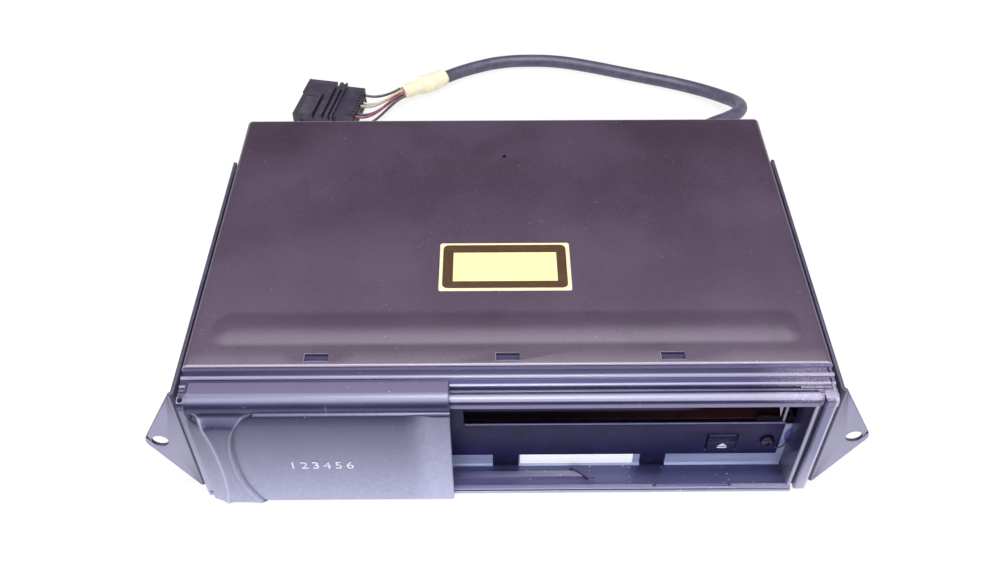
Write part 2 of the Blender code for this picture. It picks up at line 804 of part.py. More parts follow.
def make_base_pan():
    half = HALF - COVER_SHEET - GAP
    back = CASE_DEPTH - COVER_SHEET - GAP
    pan = tray_mesh(
        (-half, COVER_FRONT, 0), (half, back, PAN_SIDE_HEIGHT), PAN_SHEET, ("-Y", "+Z"), PAN_SHEET * 2, "XYZ"
    )
    obj = part("base_pan", pan, zinc_steel())
    cable_hole = (CABLE_X, CASE_DEPTH + OVERRUN, CABLE_EXIT_HEIGHT)
    cut(obj, rod_mesh(GROMMET_BODY_RADIUS + GAP, cable_hole, OVERRUN * 3, "Y"))
    cut(obj, *bracket_screw_holes())


def beam_outline():
    """The top beam's section in (y, z): rear face, rib, step, two door tracks and the rounded nose."""
    rib = [
        (RIB_PLACE + RIB_RADIUS * math.cos(math.pi * i / ARC_STEPS), BEAM_TOP + RIB_RADIUS * math.sin(math.pi * i / ARC_STEPS))
        for i in range(ARC_STEPS + 1)
    ]
    half = TRACK_GROOVE_WIDTH / 2
    bottom = TRACK_TOP - TRACK_GROOVE_DEPTH
    tracks = []
    for place in (FAR_TRACK, NEAR_TRACK):
        tracks += [(place + half, TRACK_TOP), (place + half, bottom), (place - half, bottom), (place - half, TRACK_TOP)]
    nose_y, nose_z = BEAM_SETBACK + NOSE_RADIUS, TRACK_TOP - NOSE_RADIUS
    nose = [
        (
            nose_y - NOSE_RADIUS * math.sin(math.pi / 2 * i / ARC_STEPS),
            nose_z + NOSE_RADIUS * math.cos(math.pi / 2 * i / ARC_STEPS),
        )
        for i in range(ARC_STEPS + 1)
    ]
    rear = [(BEZEL_DEPTH, BEAM_BOTTOM), (BEZEL_DEPTH, BEAM_TOP)]
    step = [(TRACK_BACK, BEAM_TOP), (TRACK_BACK, TRACK_TOP)]
    return [*rear, *rib, *step, *tracks, *nose, (BEAM_SETBACK, BEAM_BOTTOM)]


def right_side_outline():
    """The right side in (x, y): outer wall, rounded column, door notch, rim and the opening's wall."""
    column = BEZEL_HALF - COLUMN_RIGHT
    rim = RIM_LEFT + RIM_WIDTH
    inner = BEZEL_HALF - BEZEL_WALL
    return filleted(
        [
            (BEZEL_HALF, BEZEL_DEPTH, 0),
            (inner, BEZEL_DEPTH, 0),
            (inner, DOOR_NOTCH_DEPTH + BEZEL_WALL, 0),
            (rim, DOOR_NOTCH_DEPTH + BEZEL_WALL, 0),
            (rim, PANEL_FRONT - GAP, 0),
            (RIM_LEFT, PANEL_FRONT - GAP, 0),
            (RIM_LEFT, GAP, RIM_WIDTH / 4),
            (rim, GAP, RIM_WIDTH / 4),
            (rim, DOOR_NOTCH_DEPTH, 0),
            (column, DOOR_NOTCH_DEPTH, 0),
            (column, -BEZEL_PROUD, BEZEL_PROUD),
            (BEZEL_HALF, -BEZEL_PROUD, COLUMN_RADIUS),
        ]
    )


def left_side_outline():
    """The left side in (x, y): outer wall, narrow column, the wall behind the parked door, and its return."""
    column = -BEZEL_HALF + COLUMN_LEFT
    inner = -BEZEL_HALF + BEZEL_WALL
    inside = OPENING_LEFT - BEZEL_WALL
    return filleted(
        [
            (-BEZEL_HALF, BEZEL_DEPTH, 0),
            (-BEZEL_HALF, -BEZEL_PROUD, COLUMN_LEFT / 2),
            (column, -BEZEL_PROUD, COLUMN_LEFT / 4),
            (column, 0, 0),
            (OPENING_LEFT, 0, 0),
            (OPENING_LEFT, PANEL_FRONT - GAP, 0),
            (inside, PANEL_FRONT - GAP, 0),
            (inside, BEZEL_WALL, 0),
            (inner, BEZEL_WALL, 0),
            (inner, BEZEL_DEPTH, 0),
        ]
    )


def lip_outline():
    """The floor and its front lip in (y, z)."""
    return [
        (-LIP_PROUD, BEZEL_LIFT),
        (FLOOR_DEPTH, BEZEL_LIFT),
        (FLOOR_DEPTH, FLOOR_TOP),
        (LIP_DEPTH, FLOOR_TOP),
        (LIP_DEPTH, LIP_TOP),
        (-LIP_PROUD, LIP_TOP),
    ]


def tongue_outline():
    """The long tongue in (y, z), which slides under the cover's front edge."""
    top = CASE_HEIGHT - COVER_SHEET - GAP
    low = top - TONGUE_SHEET
    return [
        (BEZEL_DEPTH - GAP, low - TONGUE_ROOT),
        (COVER_FRONT, low - TONGUE_ROOT),
        (BEZEL_DEPTH + TONGUE_LENGTH, low),
        (BEZEL_DEPTH + TONGUE_LENGTH, top),
        (BEZEL_DEPTH - GAP, top),
    ]


def barb_outline():
    """A barb on the tongue in (y, z), which stands in a window of the cover."""
    top = CASE_HEIGHT - COVER_SHEET - GAP
    front = COVER_FRONT + WINDOW_FROM_FRONT + GAP
    back = COVER_FRONT + WINDOW_FROM_FRONT + WINDOW_DEPTH - GAP
    middle = top - TONGUE_SHEET / 2
    return [(back, middle), (back, top), (front + BARB_HEIGHT, top + BARB_HEIGHT), (front, top + BARB_HEIGHT), (front, middle)]


def make_front_bezel():
    sides_top = (BEAM_BOTTOM + TRACK_TOP - TRACK_GROOVE_DEPTH) / 2
    beam = plate_mesh(beam_outline(), -BEZEL_HALF, BEZEL_HALF, "X")
    obj = part("front_bezel", beam, black_moulding())
    join(
        obj,
        plate_mesh(right_side_outline(), BEZEL_LIFT, BEAM_TOP, "Z"),
        plate_mesh(left_side_outline(), BEZEL_LIFT, sides_top, "Z"),
        plate_mesh(lip_outline(), -BEZEL_HALF + COLUMN_LEFT / 2, RIM_LEFT + RIM_WIDTH, "X"),
        box_mesh(
            (RIM_LEFT - LIP_STEP_FROM_RIGHT - LIP_STEP_WIDTH, BEZEL_LIFT, FLOOR_TOP - BEZEL_LIFT),
            (RIM_LEFT - LIP_STEP_FROM_RIGHT, LIP_DEPTH + LIP_STEP_HEIGHT, LIP_TOP + LIP_STEP_HEIGHT),
        ),
        floor_rail_mesh(),
    )
    tongue_half = BEZEL_HALF - BEZEL_WALL
    join(obj, plate_mesh(tongue_outline(), -tongue_half, tongue_half, "X"))
    for share in WINDOW_PLACE_SHARES:
        middle, half = HALF * share, WINDOW_WIDTH / 2 - GAP
        join(obj, plate_mesh(barb_outline(), middle - half, middle + half, "X"))
    join(obj, *track_ends())
    groove_low = (-BEZEL_HALF + COLUMN_LEFT + GAP, -OVERRUN, FOOT_GROOVE_LOW)
    groove_high = (BEZEL_HALF - COLUMN_RIGHT - GAP, FOOT_GROOVE_DEPTH, FOOT_GROOVE_HIGH)
    cut(obj, box_mesh(groove_low, groove_high))


def track_ends():
    """What closes the two door tracks at their right ends, a hair lower than the land between them."""
    for place, short in ((FAR_TRACK, FAR_TRACK_SHORT), (NEAR_TRACK, NEAR_TRACK_SHORT)):
        half = TRACK_GROOVE_WIDTH * TRACK_FILL_SHARE
        low = (DOOR_CLOSED_RIGHT - short, place - half, TRACK_TOP - TRACK_GROOVE_DEPTH - LIP_PROUD)
        yield box_mesh(low, (BEZEL_HALF - LIP_PROUD, place + half, TRACK_TOP - LIP_PROUD))


def floor_rail_mesh():
    """A low rail on the floor whose right end is cut at a slant."""
    left = OPENING_LEFT - BEZEL_WALL / 2
    right = left + FLOOR_RAIL_LENGTH
    front, back = FLOOR_RAIL_FRONT, FLOOR_RAIL_FRONT + FLOOR_RAIL_DEPTH
    outline = [(left, front), (right + FLOOR_RAIL_SLANT, front), (right, back), (left, back)]
    top = FLOOR_TOP + FLOOR_RAIL_HEIGHT
    return plate_mesh(outline, (BEZEL_LIFT + FLOOR_TOP) / 2, top, "Z")


# The door's outer face, foot to nose: shares of how proud it stands, and of its height
DOOR_FACE_SHARES = (
    (0.93, 0.0), (0.99, 0.012), (1.0, 0.04), (0.96, 0.25), (0.90, 0.5), (0.83, 0.7), (0.77, 0.81),
    (0.74, 0.85), (0.77, 0.885), (0.90, 0.912), (0.90, 0.922), (0.76, 0.928), (0.76, 0.955),
)
GRIP_FACE_SHARES = (
    (0.95, 0.0), (0.99, 0.012), (1.0, 0.04), (0.98, 0.25), (0.95, 0.5), (0.91, 0.68), (0.89, 0.735),
    (0.93, 0.775), (0.90, 0.815), (0.74, 0.868), (0.58, 0.915), (0.52, 0.928), (0.52, 0.955),
)
END_FACE_SHARES = (
    (0.93, 0.0), (0.99, 0.012), (1.0, 0.04), (0.98, 0.25), (0.96, 0.5), (0.94, 0.7), (0.93, 0.81),
    (0.92, 0.85), (0.92, 0.885), (0.91, 0.912), (0.88, 0.922), (0.82, 0.928), (0.78, 0.955),
)
NOSE_PROUD_SHARES = (0.70, 0.45, 0.06)
NOSE_HEIGHT_SHARES = (0.978, 0.993, 0.9995)


def door_ring(x_of, face_shares, proud, nose_scale):
    """One closed section of the outer leaf; x_of gives X for a share of the height."""
    height = OUTER_TOP - OUTER_FOOT
    outer = [(-proud * p, OUTER_FOOT + height * h) for p, h in face_shares]
    outer += [
        (-DOOR_PROUD * nose_scale * p, OUTER_FOOT + height * h)
        for p, h in zip(NOSE_PROUD_SHARES, NOSE_HEIGHT_SHARES)
    ]
    back = TRACK_BACK - GAP + OUTER_BACK_REACH
    hook_front, hook_back = FAR_TRACK - LEAF_HOOK / 2, FAR_TRACK + LEAF_HOOK / 2
    inner = [
        (back, OUTER_TOP),
        (back, OUTER_UNDERSIDE),
        (hook_back, OUTER_UNDERSIDE),
        (hook_front, OUTER_UNDERSIDE),
        (OUTER_LEAF_BACK, OUTER_UNDERSIDE),
        (OUTER_LEAF_BACK, OUTER_FOOT),
    ]
    return [(x_of((z - OUTER_FOOT) / height), y, z) for y, z in outer + inner]


def make_door_outer():
    """The sliding leaf: a curved skin with a raised grip at its left, lofted along X."""
    grip_left = DOOR_LEFT + GRIP_LEFT
    grip_right = grip_left + GRIP_WIDTH

    def upright(x):
        return lambda share: x

    def grip_wall(x):
        return lambda share: x + GRIP_WIDTH * (max(0, (share - 0.62) / 0.36) ** 2 * 0.7 + max(0, 0.3 - share) ** 2 * 6)

    def ridge(x):
        return lambda share: x - GRIP_LEFT * max(0, (share - 0.62) / 0.36) ** 1.6 * 0.42

    sections = [
        (upright(DOOR_LEFT), END_FACE_SHARES, DOOR_PROUD * 0.72, 0.62),
        (upright(DOOR_LEFT + GRIP_LEFT * 0.12), END_FACE_SHARES, DOOR_PROUD * 0.84, 0.95),
        (ridge(grip_left - GRIP_LEFT * 0.30), END_FACE_SHARES, DOOR_PROUD * 0.98, 1),
        (ridge(grip_left), GRIP_FACE_SHARES, GRIP_PROUD * 0.94, 1),
        (ridge(grip_left + GRIP_WIDTH * 0.12), GRIP_FACE_SHARES, GRIP_PROUD, 1),
        (grip_wall(grip_right - GRIP_WIDTH * 0.16), GRIP_FACE_SHARES, GRIP_PROUD, 1),
        (grip_wall(grip_right - GRIP_WIDTH * 0.04), GRIP_FACE_SHARES, GRIP_PROUD * 0.95, 1),
        (grip_wall(grip_right + GRIP_WIDTH * 0.02), DOOR_FACE_SHARES, DOOR_PROUD, 1),
        (grip_wall(grip_right + GRIP_WIDTH * 0.25), DOOR_FACE_SHARES, DOOR_PROUD, 1),
        (upright(DOOR_RIGHT - GRIP_WIDTH * 1.3), DOOR_FACE_SHARES, DOOR_PROUD, 1),
        (upright(DOOR_RIGHT - GRIP_WIDTH * 0.65), END_FACE_SHARES, DOOR_PROUD, 1),
        (upright(DOOR_RIGHT - GRIP_WIDTH * 0.12), END_FACE_SHARES, DOOR_PROUD, 1),
        (upright(DOOR_RIGHT - GRIP_WIDTH * 0.03), END_FACE_SHARES, DOOR_PROUD * 0.9, 0.85),
        (upright(DOOR_RIGHT), END_FACE_SHARES, DOOR_PROUD * 0.78, 0.6),
    ]
    skin = loft_mesh([door_ring(*section) for section in sections])
    obj = part("door_outer", skin, black_moulding())
    hook_low = (DOOR_LEFT + DOOR_HOOK_INSET, FAR_TRACK - LEAF_HOOK / 2, TRACK_TOP - LEAF_HOOK_DEPTH)
    hook_high = (DOOR_RIGHT - DOOR_HOOK_INSET, FAR_TRACK + LEAF_HOOK / 2, OUTER_TOP - OUTER_FLANGE / 2)
    foot_middle = (FOOT_GROOVE_LOW + FOOT_GROOVE_HIGH) / 2
    foot_low = (DOOR_LEFT + DOOR_HOOK_INSET, OUTER_LEAF_BACK - GAP, foot_middle - FOOT_FLANGE / 2)
    foot_high = (DOOR_RIGHT - DOOR_HOOK_INSET, FOOT_GROOVE_DEPTH - GAP, foot_middle + FOOT_FLANGE / 2)
    join(obj, box_mesh(hook_low, hook_high), box_mesh(foot_low, foot_high))


def make_door_inner():
    """The second leaf: a plain panel that hangs by a flange from the near track."""
    hook_front = NEAR_TRACK - LEAF_HOOK / 2
    hook_back = NEAR_TRACK + LEAF_HOOK / 2
    low = INNER_TOP - INNER_FLANGE
    outline = [
        (INNER_LEAF_FRONT, INNER_FOOT),
        (-GAP, INNER_FOOT),
        (-GAP, low),
        (hook_front, low),
        (hook_front, TRACK_TOP - LEAF_HOOK_DEPTH),
        (hook_back, TRACK_TOP - LEAF_HOOK_DEPTH),
        (hook_back, INNER_TOP),
        (INNER_LEAF_FRONT, INNER_TOP),
    ]
    part("door_inner", plate_mesh(outline, INNER_LEFT, INNER_LEFT + INNER_LENGTH, "X"), dark_moulding())


def make_bracket(side, name):
    """A side plate and its ear, one bent sheet: a bent strip drawn up in Z, then trimmed to shape."""
    inner = HALF + BRACKET_STANDOFF
    outer = inner + BRACKET_SHEET
    tip = outer + EAR_HOLE_OUT + EAR_TIP_RADIUS
    back = BRACKET_FRONT + bracket_length()
    top = CASE_HEIGHT - BRACKET_DROP
    low = COVER_LIFT
    front = BRACKET_FRONT
    bent = filleted(
        [
            (inner, back, 0),
            (inner, front, BEND_RADIUS),
            (tip + OVERRUN, front, 0),
            (tip + OVERRUN, front + BRACKET_SHEET, 0),
            (outer, front + BRACKET_SHEET, BEND_RADIUS - BRACKET_SHEET),
            (outer, back, 0),
        ]
    )
    mesh = plate_mesh([(x * side, y) for x, y in bent], low, top, "Z")
    obj = part(name, mesh, black_steel())
    ear_x = outer + EAR_HOLE_OUT
    edge_x = outer + BEND_RADIUS - BRACKET_SHEET
    top_corner, low_corner = Vector((edge_x, top)), Vector((edge_x, low))
    hole = Vector((ear_x, EAR_HOLE_HEIGHT))
    keep = [
        (inner - OVERRUN, low - OVERRUN),
        (edge_x, low - OVERRUN),
        tuple(low_corner),
        *ear_tip(low_corner, hole, top_corner),
        tuple(top_corner),
        (edge_x, top + OVERRUN),
        (inner - OVERRUN, top + OVERRUN),
    ]
    keep = [(x * side, z) for x, z in keep]
    combine(obj, "INTERSECT", [plate_mesh(keep, front - OVERRUN, back + OVERRUN, "Y")])
    ear_hole = (ear_x * side, front + BRACKET_SHEET + OVERRUN, EAR_HOLE_HEIGHT)
    cut(obj, rod_mesh(EAR_HOLE_RADIUS, ear_hole, OVERRUN * 2, "Y"))
    slope = [
        (back - BRACKET_REAR_SLOPE, low - OVERRUN),
        (back + OVERRUN, low - OVERRUN),
        (back + OVERRUN, low + BRACKET_REAR_SLOPE + OVERRUN),
        (back, low + BRACKET_REAR_SLOPE),
        (back - BRACKET_REAR_SLOPE, low),
    ]
    near, far = sorted((side * (inner - OVERRUN), side * (outer + OVERRUN)))
    cut(obj, plate_mesh(slope, near, far, "X"))
    for _, screw, y in bracket_screw_places():
        if screw.startswith(name.split("_")[-1]):
            cut(obj, rod_mesh(SCREW_RADIUS + SCREW_CLEARANCE, (near, y, SCREW_HEIGHT), far - near, "X", SMALL_ROUND_STEPS))


def ear_tip(low_corner, hole, top_corner):
    """The ear's round tip: an arc about its hole that meets the straight edges from both corners."""
    angles = []
    for corner, turn in ((low_corner, -1), (top_corner, 1)):
        away = corner - hole
        spread = math.acos(EAR_TIP_RADIUS / away.length)
        angles.append(math.atan2(away.y, away.x) - turn * spread)
    start, end = angles[0], angles[1]
    while end < start:
        end += 2 * math.pi
    steps = ARC_STEPS * 2
    return [
        (
            hole.x + EAR_TIP_RADIUS * math.cos(start + (end - start) * i / steps),
            hole.y + EAR_TIP_RADIUS * math.sin(start + (end - start) * i / steps),
        )
        for i in range(steps + 1)
    ]


def screw_profile(length):
    dome = SCREW_HEAD_HEIGHT * 0.45
    return (
        (0, SCREW_HEAD_HEIGHT),
        (SCREW_HEAD_RADIUS * 0.6, SCREW_HEAD_HEIGHT * 0.93),
        (SCREW_HEAD_RADIUS, dome),
        (SCREW_HEAD_RADIUS, 0),
        (SCREW_RADIUS, 0),
        (SCREW_RADIUS, -length),
        (0, -length),
    )


def make_bracket_screws():
    face = HALF + BRACKET_STANDOFF + BRACKET_SHEET + GAP
    for side, name, y in bracket_screw_places():
        mesh = turned_mesh(screw_profile(SCREW_LENGTH), (0, 0, 0), "X", SMALL_ROUND_STEPS)
        if side < 0:
            mesh.transform(Matrix.Rotation(math.pi, 4, "Z"))
        mesh.transform(Matrix.Translation((side * face, y, SCREW_HEIGHT)))
        part(f"bracket_screw_{name}", mesh, black_steel())


def make_slot_panel():
    left = OPENING_LEFT - PANEL_LEFT_REACH
    outline = [
        (left, PANEL_BOTTOM),
        (PANEL_RIGHT, PANEL_BOTTOM),
        (PANEL_RIGHT, SLOT_BOTTOM),
        (SLOT_LEFT, SLOT_BOTTOM),
        (SLOT_LEFT, BEAM_BOTTOM - GAP),
        (left, BEAM_BOTTOM - GAP),
    ]
    half_w, half_h = BUTTON_WIDTH / 2 + GAP, BUTTON_TALL / 2 + GAP
    window = rectangle(
        BUTTON_X - half_w, BUTTON_HEIGHT_AT - half_h, BUTTON_X + half_w, BUTTON_HEIGHT_AT + half_h
    )
    screw_hole = ring_points(panel_screw_place(), SCREW_RADIUS + SCREW_CLEARANCE, SMALL_ROUND_STEPS)
    mesh = plate_mesh(outline, PANEL_FRONT, PANEL_BACK, "Y", (window, screw_hole))
    part("slot_panel", mesh, dark_moulding())


def panel_screw_place():
    return (RIM_LEFT - PANEL_SCREW_FROM_RIGHT, BUTTON_HEIGHT_AT)


def make_panel_screw():
    x, z = panel_screw_place()
    mesh = turned_mesh(screw_profile(PANEL_SHEET + GAP * 2 + CHASSIS_SHEET), (0, 0, 0), "Y", SMALL_ROUND_STEPS)
    mesh.transform(Matrix.Translation((x, PANEL_FRONT - GAP, z)))
    part("panel_screw", mesh, bright_steel())


def make_eject_button():
    """A cap with a finger ledge in front of the panel, a flange behind it and a stem to the lever."""
    x, z = BUTTON_X, BUTTON_HEIGHT_AT
    half_w, half_h = BUTTON_WIDTH / 2, BUTTON_TALL / 2
    front = PANEL_FRONT - BUTTON_PROUD
    flange_back = CHASSIS_FRONT + BUTTON_FLANGE_SHEET
    middle = CHASSIS_FRONT + BUTTON_FLANGE_SHEET / 2
    cap = box_mesh((x - half_w, front, z - half_h), (x + half_w, middle, z + half_h))
    obj = part("eject_button", cap, black_moulding(), (x, front, z))
    join(
        obj,
        box_mesh(
            (x - half_w - BUTTON_FLANGE, CHASSIS_FRONT, z - half_h - BUTTON_FLANGE),
            (x + half_w + BUTTON_FLANGE, flange_back, z + half_h + BUTTON_FLANGE),
        ),
        box_mesh(
            (x - BUTTON_STEM_WIDTH / 2, middle, z - BUTTON_STEM_TALL / 2),
            (x + BUTTON_STEM_WIDTH / 2, flange_back + BUTTON_STEM_LENGTH, z + BUTTON_STEM_TALL / 2),
        ),
    )


def make_eject_lever():
    low, high = LEVER_LOW, LEVER_LOW + LEVER_THICK
    pivot = (LEVER_X, LEVER_Y, low)
    half = LEVER_WIDTH / 2
    back = LEVER_Y + LEVER_REACH
    tip = BUTTON_X + BUTTON_STEM_WIDTH / 2
    turn = math.asin(half / LEVER_HUB_RADIUS)
    outline = [
        (tip, LEVER_Y - half),
        (tip, LEVER_Y + half),
        *arc_points(pivot[:2], LEVER_HUB_RADIUS, turn, math.pi / 2 - turn, ARC_STEPS - 2),
        (LEVER_X + half, back - LEVER_HOOK),
        (LEVER_X + half + LEVER_HOOK, back - LEVER_HOOK),
        (LEVER_X + half, back),
        (LEVER_X - half, back),
        *arc_points(pivot[:2], LEVER_HUB_RADIUS, math.pi / 2 + turn, 2 * math.pi - turn),
    ]
    hole = ring_points(pivot[:2], PIN_RADIUS + PIN_CLEARANCE, SMALL_ROUND_STEPS)
    part("eject_lever", plate_mesh(outline, low, high, "Z", (hole,)), white_moulding(), pivot)


def make_lever_pin():
    """A shouldered pin from the chassis floor, with a head that keeps the lever on."""
    foot = CHASSIS_FLOOR + GAP
    shoulder = LEVER_LOW - GAP
    top = LEVER_LOW + LEVER_THICK + GAP
    profile = (
        (0, top + PIN_HEAD),
        (PIN_HEAD_RADIUS, top + PIN_HEAD),
        (PIN_HEAD_RADIUS, top),
        (PIN_RADIUS, top),
        (PIN_RADIUS, shoulder),
        (PIN_HEAD_RADIUS, shoulder),
        (PIN_HEAD_RADIUS, foot),
        (0, foot),
    )
    part("lever_pin", turned_mesh(profile, (LEVER_X, LEVER_Y, 0), steps=SMALL_ROUND_STEPS), bright_steel())


def above_front_flange():
    """What is cut from the chassis front in (x, z), so that the flange and its upright are left."""
    left, right = CHASSIS_LEFT - OVERRUN, CHASSIS_RIGHT + OVERRUN
    upright = CHASSIS_RIGHT - UPRIGHT_WIDTH
    points = [(left, FLANGE_TOP)]
    for low, high in STRIP_NOTCHES:
        points += [
            (low, FLANGE_TOP),
            (low, CHASSIS_FLOOR + GAP),
            (high, CHASSIS_FLOOR + GAP),
            (high, FLANGE_TOP),
        ]
    points += [(upright, FLANGE_TOP), (upright, UPRIGHT_TOP), (right, UPRIGHT_TOP)]
    return [*points, (right, LEFT_WALL_TOP + OVERRUN), (left, LEFT_WALL_TOP + OVERRUN)]


def follower_slots():
    """Upright slots in (y, z) that guide the carrier's follower pins."""
    reach = PIN_RADIUS + PIN_CLEARANCE
    return [
        stadium((y, FOLLOWER_LOW), (y, FOLLOWER_LOW + LIFT_TRAVEL), reach)
        for y in (FRONT_FOLLOWER, BACK_FOLLOWER)
    ]


def standoff_places():
    left, right = MID_WALL_LEFT + CHASSIS_SHEET, CHASSIS_RIGHT - CHASSIS_SHEET
    inset = STANDOFF_RADIUS + BOARD_MARGIN
    for x in (left + inset, right - inset):
        for y in (BOARD_FRONT + STANDOFF_RADIUS * 2, CHASSIS_BACK - inset):
            yield x, y


def make_loader_chassis():
    """Zinc-plated steel: floor, front flange with its upright, and four walls that carry the rest."""
    left, right, low = CHASSIS_LEFT, CHASSIS_RIGHT, CHASSIS_LOW
    sheet, front, back = CHASSIS_SHEET, CHASSIS_FRONT, CHASSIS_BACK
    wall_top = CAGE_FLOOR - GAP
    tray = tray_mesh((left, front, low), (right, back, LEFT_WALL_TOP), sheet, ("+Z",))
    obj = part("loader_chassis", tray, zinc_steel())
    x, z = panel_screw_place()
    inside = low + sheet / 2
    join(
        obj,
        box_mesh((MID_WALL_LEFT, front + sheet / 2, inside), (MID_WALL_LEFT + sheet, back - sheet / 2, wall_top)),
        rod_mesh(PIN_RADIUS, (left + sheet / 2, GEAR_Y, GEAR_Z), sheet / 2 + GAP + RAMP_SHEET, "X", SMALL_ROUND_STEPS),
    )
    top = LEFT_WALL_TOP + OVERRUN
    cut(
        obj,
        plate_mesh(above_front_flange(), front - OVERRUN, front + sheet * 1.5, "Y"),
        box_mesh((left + sheet * 1.5, back - sheet * 1.5, REAR_FLANGE_TOP), (right + OVERRUN, back + OVERRUN, top)),
        box_mesh((right - sheet * 1.5, front - OVERRUN, wall_top), (right + OVERRUN, back + OVERRUN, top)),
    )
    for slot in follower_slots():
        cut(obj, plate_mesh(slot, left - OVERRUN, MID_WALL_LEFT + OVERRUN, "X"))
    for place in standoff_places():
        join(obj, rod_mesh(STANDOFF_RADIUS, (*place, low + sheet / 2), BOARD_LOW - GAP - low - sheet / 2, steps=SMALL_ROUND_STEPS))
    screw_hole = (x, front + sheet + OVERRUN, z)
    cut(obj, rod_mesh(SCREW_RADIUS + SCREW_CLEARANCE, screw_hole, OVERRUN * 2, "Y", SMALL_ROUND_STEPS))


def make_magazine_cage():
    """Guides the magazine: floor, right wall, back and ceiling; open at the front and to the turntable."""
    low = (MID_WALL_LEFT, CHASSIS_FRONT + CHASSIS_SHEET + GAP, CAGE_FLOOR)
    high = (SLOT_RIGHT + CAGE_SHEET, CHASSIS_BACK - CHASSIS_SHEET, CAGE_CEILING)
    mesh = tray_mesh(low, high, CAGE_SHEET, ("-X", "-Y"))
    obj = part("magazine_cage", mesh, zinc_steel())
    half = LATCH_WINDOW / 2
    hook_y = LEVER_Y + LEVER_REACH - half
    window_low = (LEVER_X - half, hook_y - half, CAGE_FLOOR - OVERRUN)
    window_high = (LEVER_X + half, hook_y + half, CAGE_FLOOR + OVERRUN)
    middle = ((low[0] + high[0]) / 2, (low[1] + high[1]) / 2, CAGE_CEILING - OVERRUN)
    beam_low = (low[0] - OVERRUN, low[1] - OVERRUN, BEAM_BOTTOM - GAP)
    beam_high = (high[0] + OVERRUN, COVER_FRONT, high[2] + OVERRUN)
    cut(
        obj,
        box_mesh(window_low, window_high),
        rod_mesh(CAGE_HOLE_RADIUS, middle, OVERRUN * 2),
        box_mesh(beam_low, beam_high),
    )


def make_elevator_plate():
    """The carrier of the playing unit: a plate with a lens window, side flanges, followers, and a tail
    whose lugs hold the clamp's pin clear of the disc."""
    left, right = UNIT_LEFT, UNIT_RIGHT
    front, back = UNIT_FRONT, UNIT_BACK
    x, y = TURNTABLE_X, TURNTABLE_Y
    lens_half = LENS_RADIUS + SLED_SIDE
    window = rounded_rectangle(
        x - lens_half,
        SLED_Y - SLED_TRAVEL - lens_half,
        x + lens_half,
        SLED_Y + lens_half,
        LENS_RADIUS,
    )
    shaft_hole = ring_points((x, y), SPINDLE_RADIUS * 3, SMALL_ROUND_STEPS)
    flange_low = PLATE_LOW - SIDE_DEPTH
    sheet = tray_mesh((left, front, flange_low), (right, back, PLATE_TOP), PLATE_SHEET, ("-Z", "-Y", "+Y"))
    obj = part("elevator_plate", sheet, zinc_steel(), (x, y, PLATE_LOW))
    cut(
        obj,
        plate_mesh(window, PLATE_LOW - OVERRUN, PLATE_TOP + OVERRUN, "Z"),
        plate_mesh(shaft_hole, PLATE_LOW - OVERRUN, PLATE_TOP + OVERRUN, "Z"),
        box_mesh(
            (left - OVERRUN, UNIT_SHOULDER, flange_low - OVERRUN),
            (x - TAIL_HALF_WIDTH, back + OVERRUN, PLATE_TOP + OVERRUN),
        ),
        box_mesh(
            (x + TAIL_HALF_WIDTH, UNIT_SHOULDER, flange_low - OVERRUN),
            (right + OVERRUN, back + OVERRUN, PLATE_TOP + OVERRUN),
        ),
    )
    pin_length = PLATE_SHEET / 2 + GAP * 2 + RAMP_SHEET + CHASSIS_SHEET
    for pin_y in (FRONT_FOLLOWER, BACK_FOLLOWER):
        left_start = (left + PLATE_SHEET / 2 - pin_length, pin_y, FOLLOWER_LOW)
        right_start = (right - PLATE_SHEET / 2, pin_y, FOLLOWER_LOW)
        join(
            obj,
            rod_mesh(PIN_RADIUS, left_start, pin_length, "X", SMALL_ROUND_STEPS),
            rod_mesh(PIN_RADIUS, right_start, pin_length, "X", SMALL_ROUND_STEPS),
        )
    for boss_low, boss_high in rod_bosses():
        join(obj, box_mesh(boss_low, boss_high))
    for side in (-1, 1):
        inner = CLAMP_BARREL_HALF + GAP
        near, far = sorted((x + side * inner, x + side * (inner + CLAMP_LUG)))
        lug = [
            (CLAMP_Y - CLAMP_LUG_RADIUS, PLATE_LOW + PLATE_SHEET / 2),
            (CLAMP_Y + CLAMP_LUG_RADIUS, PLATE_LOW + PLATE_SHEET / 2),
            *arc_points((CLAMP_Y, CLAMP_HEIGHT), CLAMP_LUG_RADIUS, 0, math.pi),
        ]
        join(obj, plate_mesh(lug, near, far, "X"))
    reach = CLAMP_BARREL_HALF + CLAMP_LUG + OVERRUN
    pin_hole = (x - reach, CLAMP_Y, CLAMP_HEIGHT)
    cut(obj, rod_mesh(CLAMP_PIN_RADIUS + GAP, pin_hole, reach * 2, "X", SMALL_ROUND_STEPS))
    for rod_x in (x - ROD_SPREAD, x + ROD_SPREAD):
        start = (rod_x, rod_back() + OVERRUN, ROD_AXIS)
        run = rod_back() - front + OVERRUN * 2
        cut(obj, rod_mesh(ROD_RADIUS + GAP, start, run, "Y", SMALL_ROUND_STEPS))


def rod_front():
    return UNIT_FRONT + GAP


def rod_back():
    return SLED_Y + SLED_LENGTH / 2 + BOSS_LENGTH * 2


def rod_bosses():
    """Blocks under the carrier that hold the guide rod's ends and the lead screw's front end."""
    low, high = ROD_AXIS - BOSS_HALF, PLATE_LOW + PLATE_SHEET / 2
    screw_x, rod_x = TURNTABLE_X - ROD_SPREAD, TURNTABLE_X + ROD_SPREAD
    front = UNIT_FRONT + GAP
    ends = ((screw_x, front), (rod_x, front), (rod_x, rod_back() - BOSS_LENGTH))
    for x, y in ends:
        yield (x - BOSS_HALF, y, low), (x + BOSS_HALF, y + BOSS_LENGTH, high)


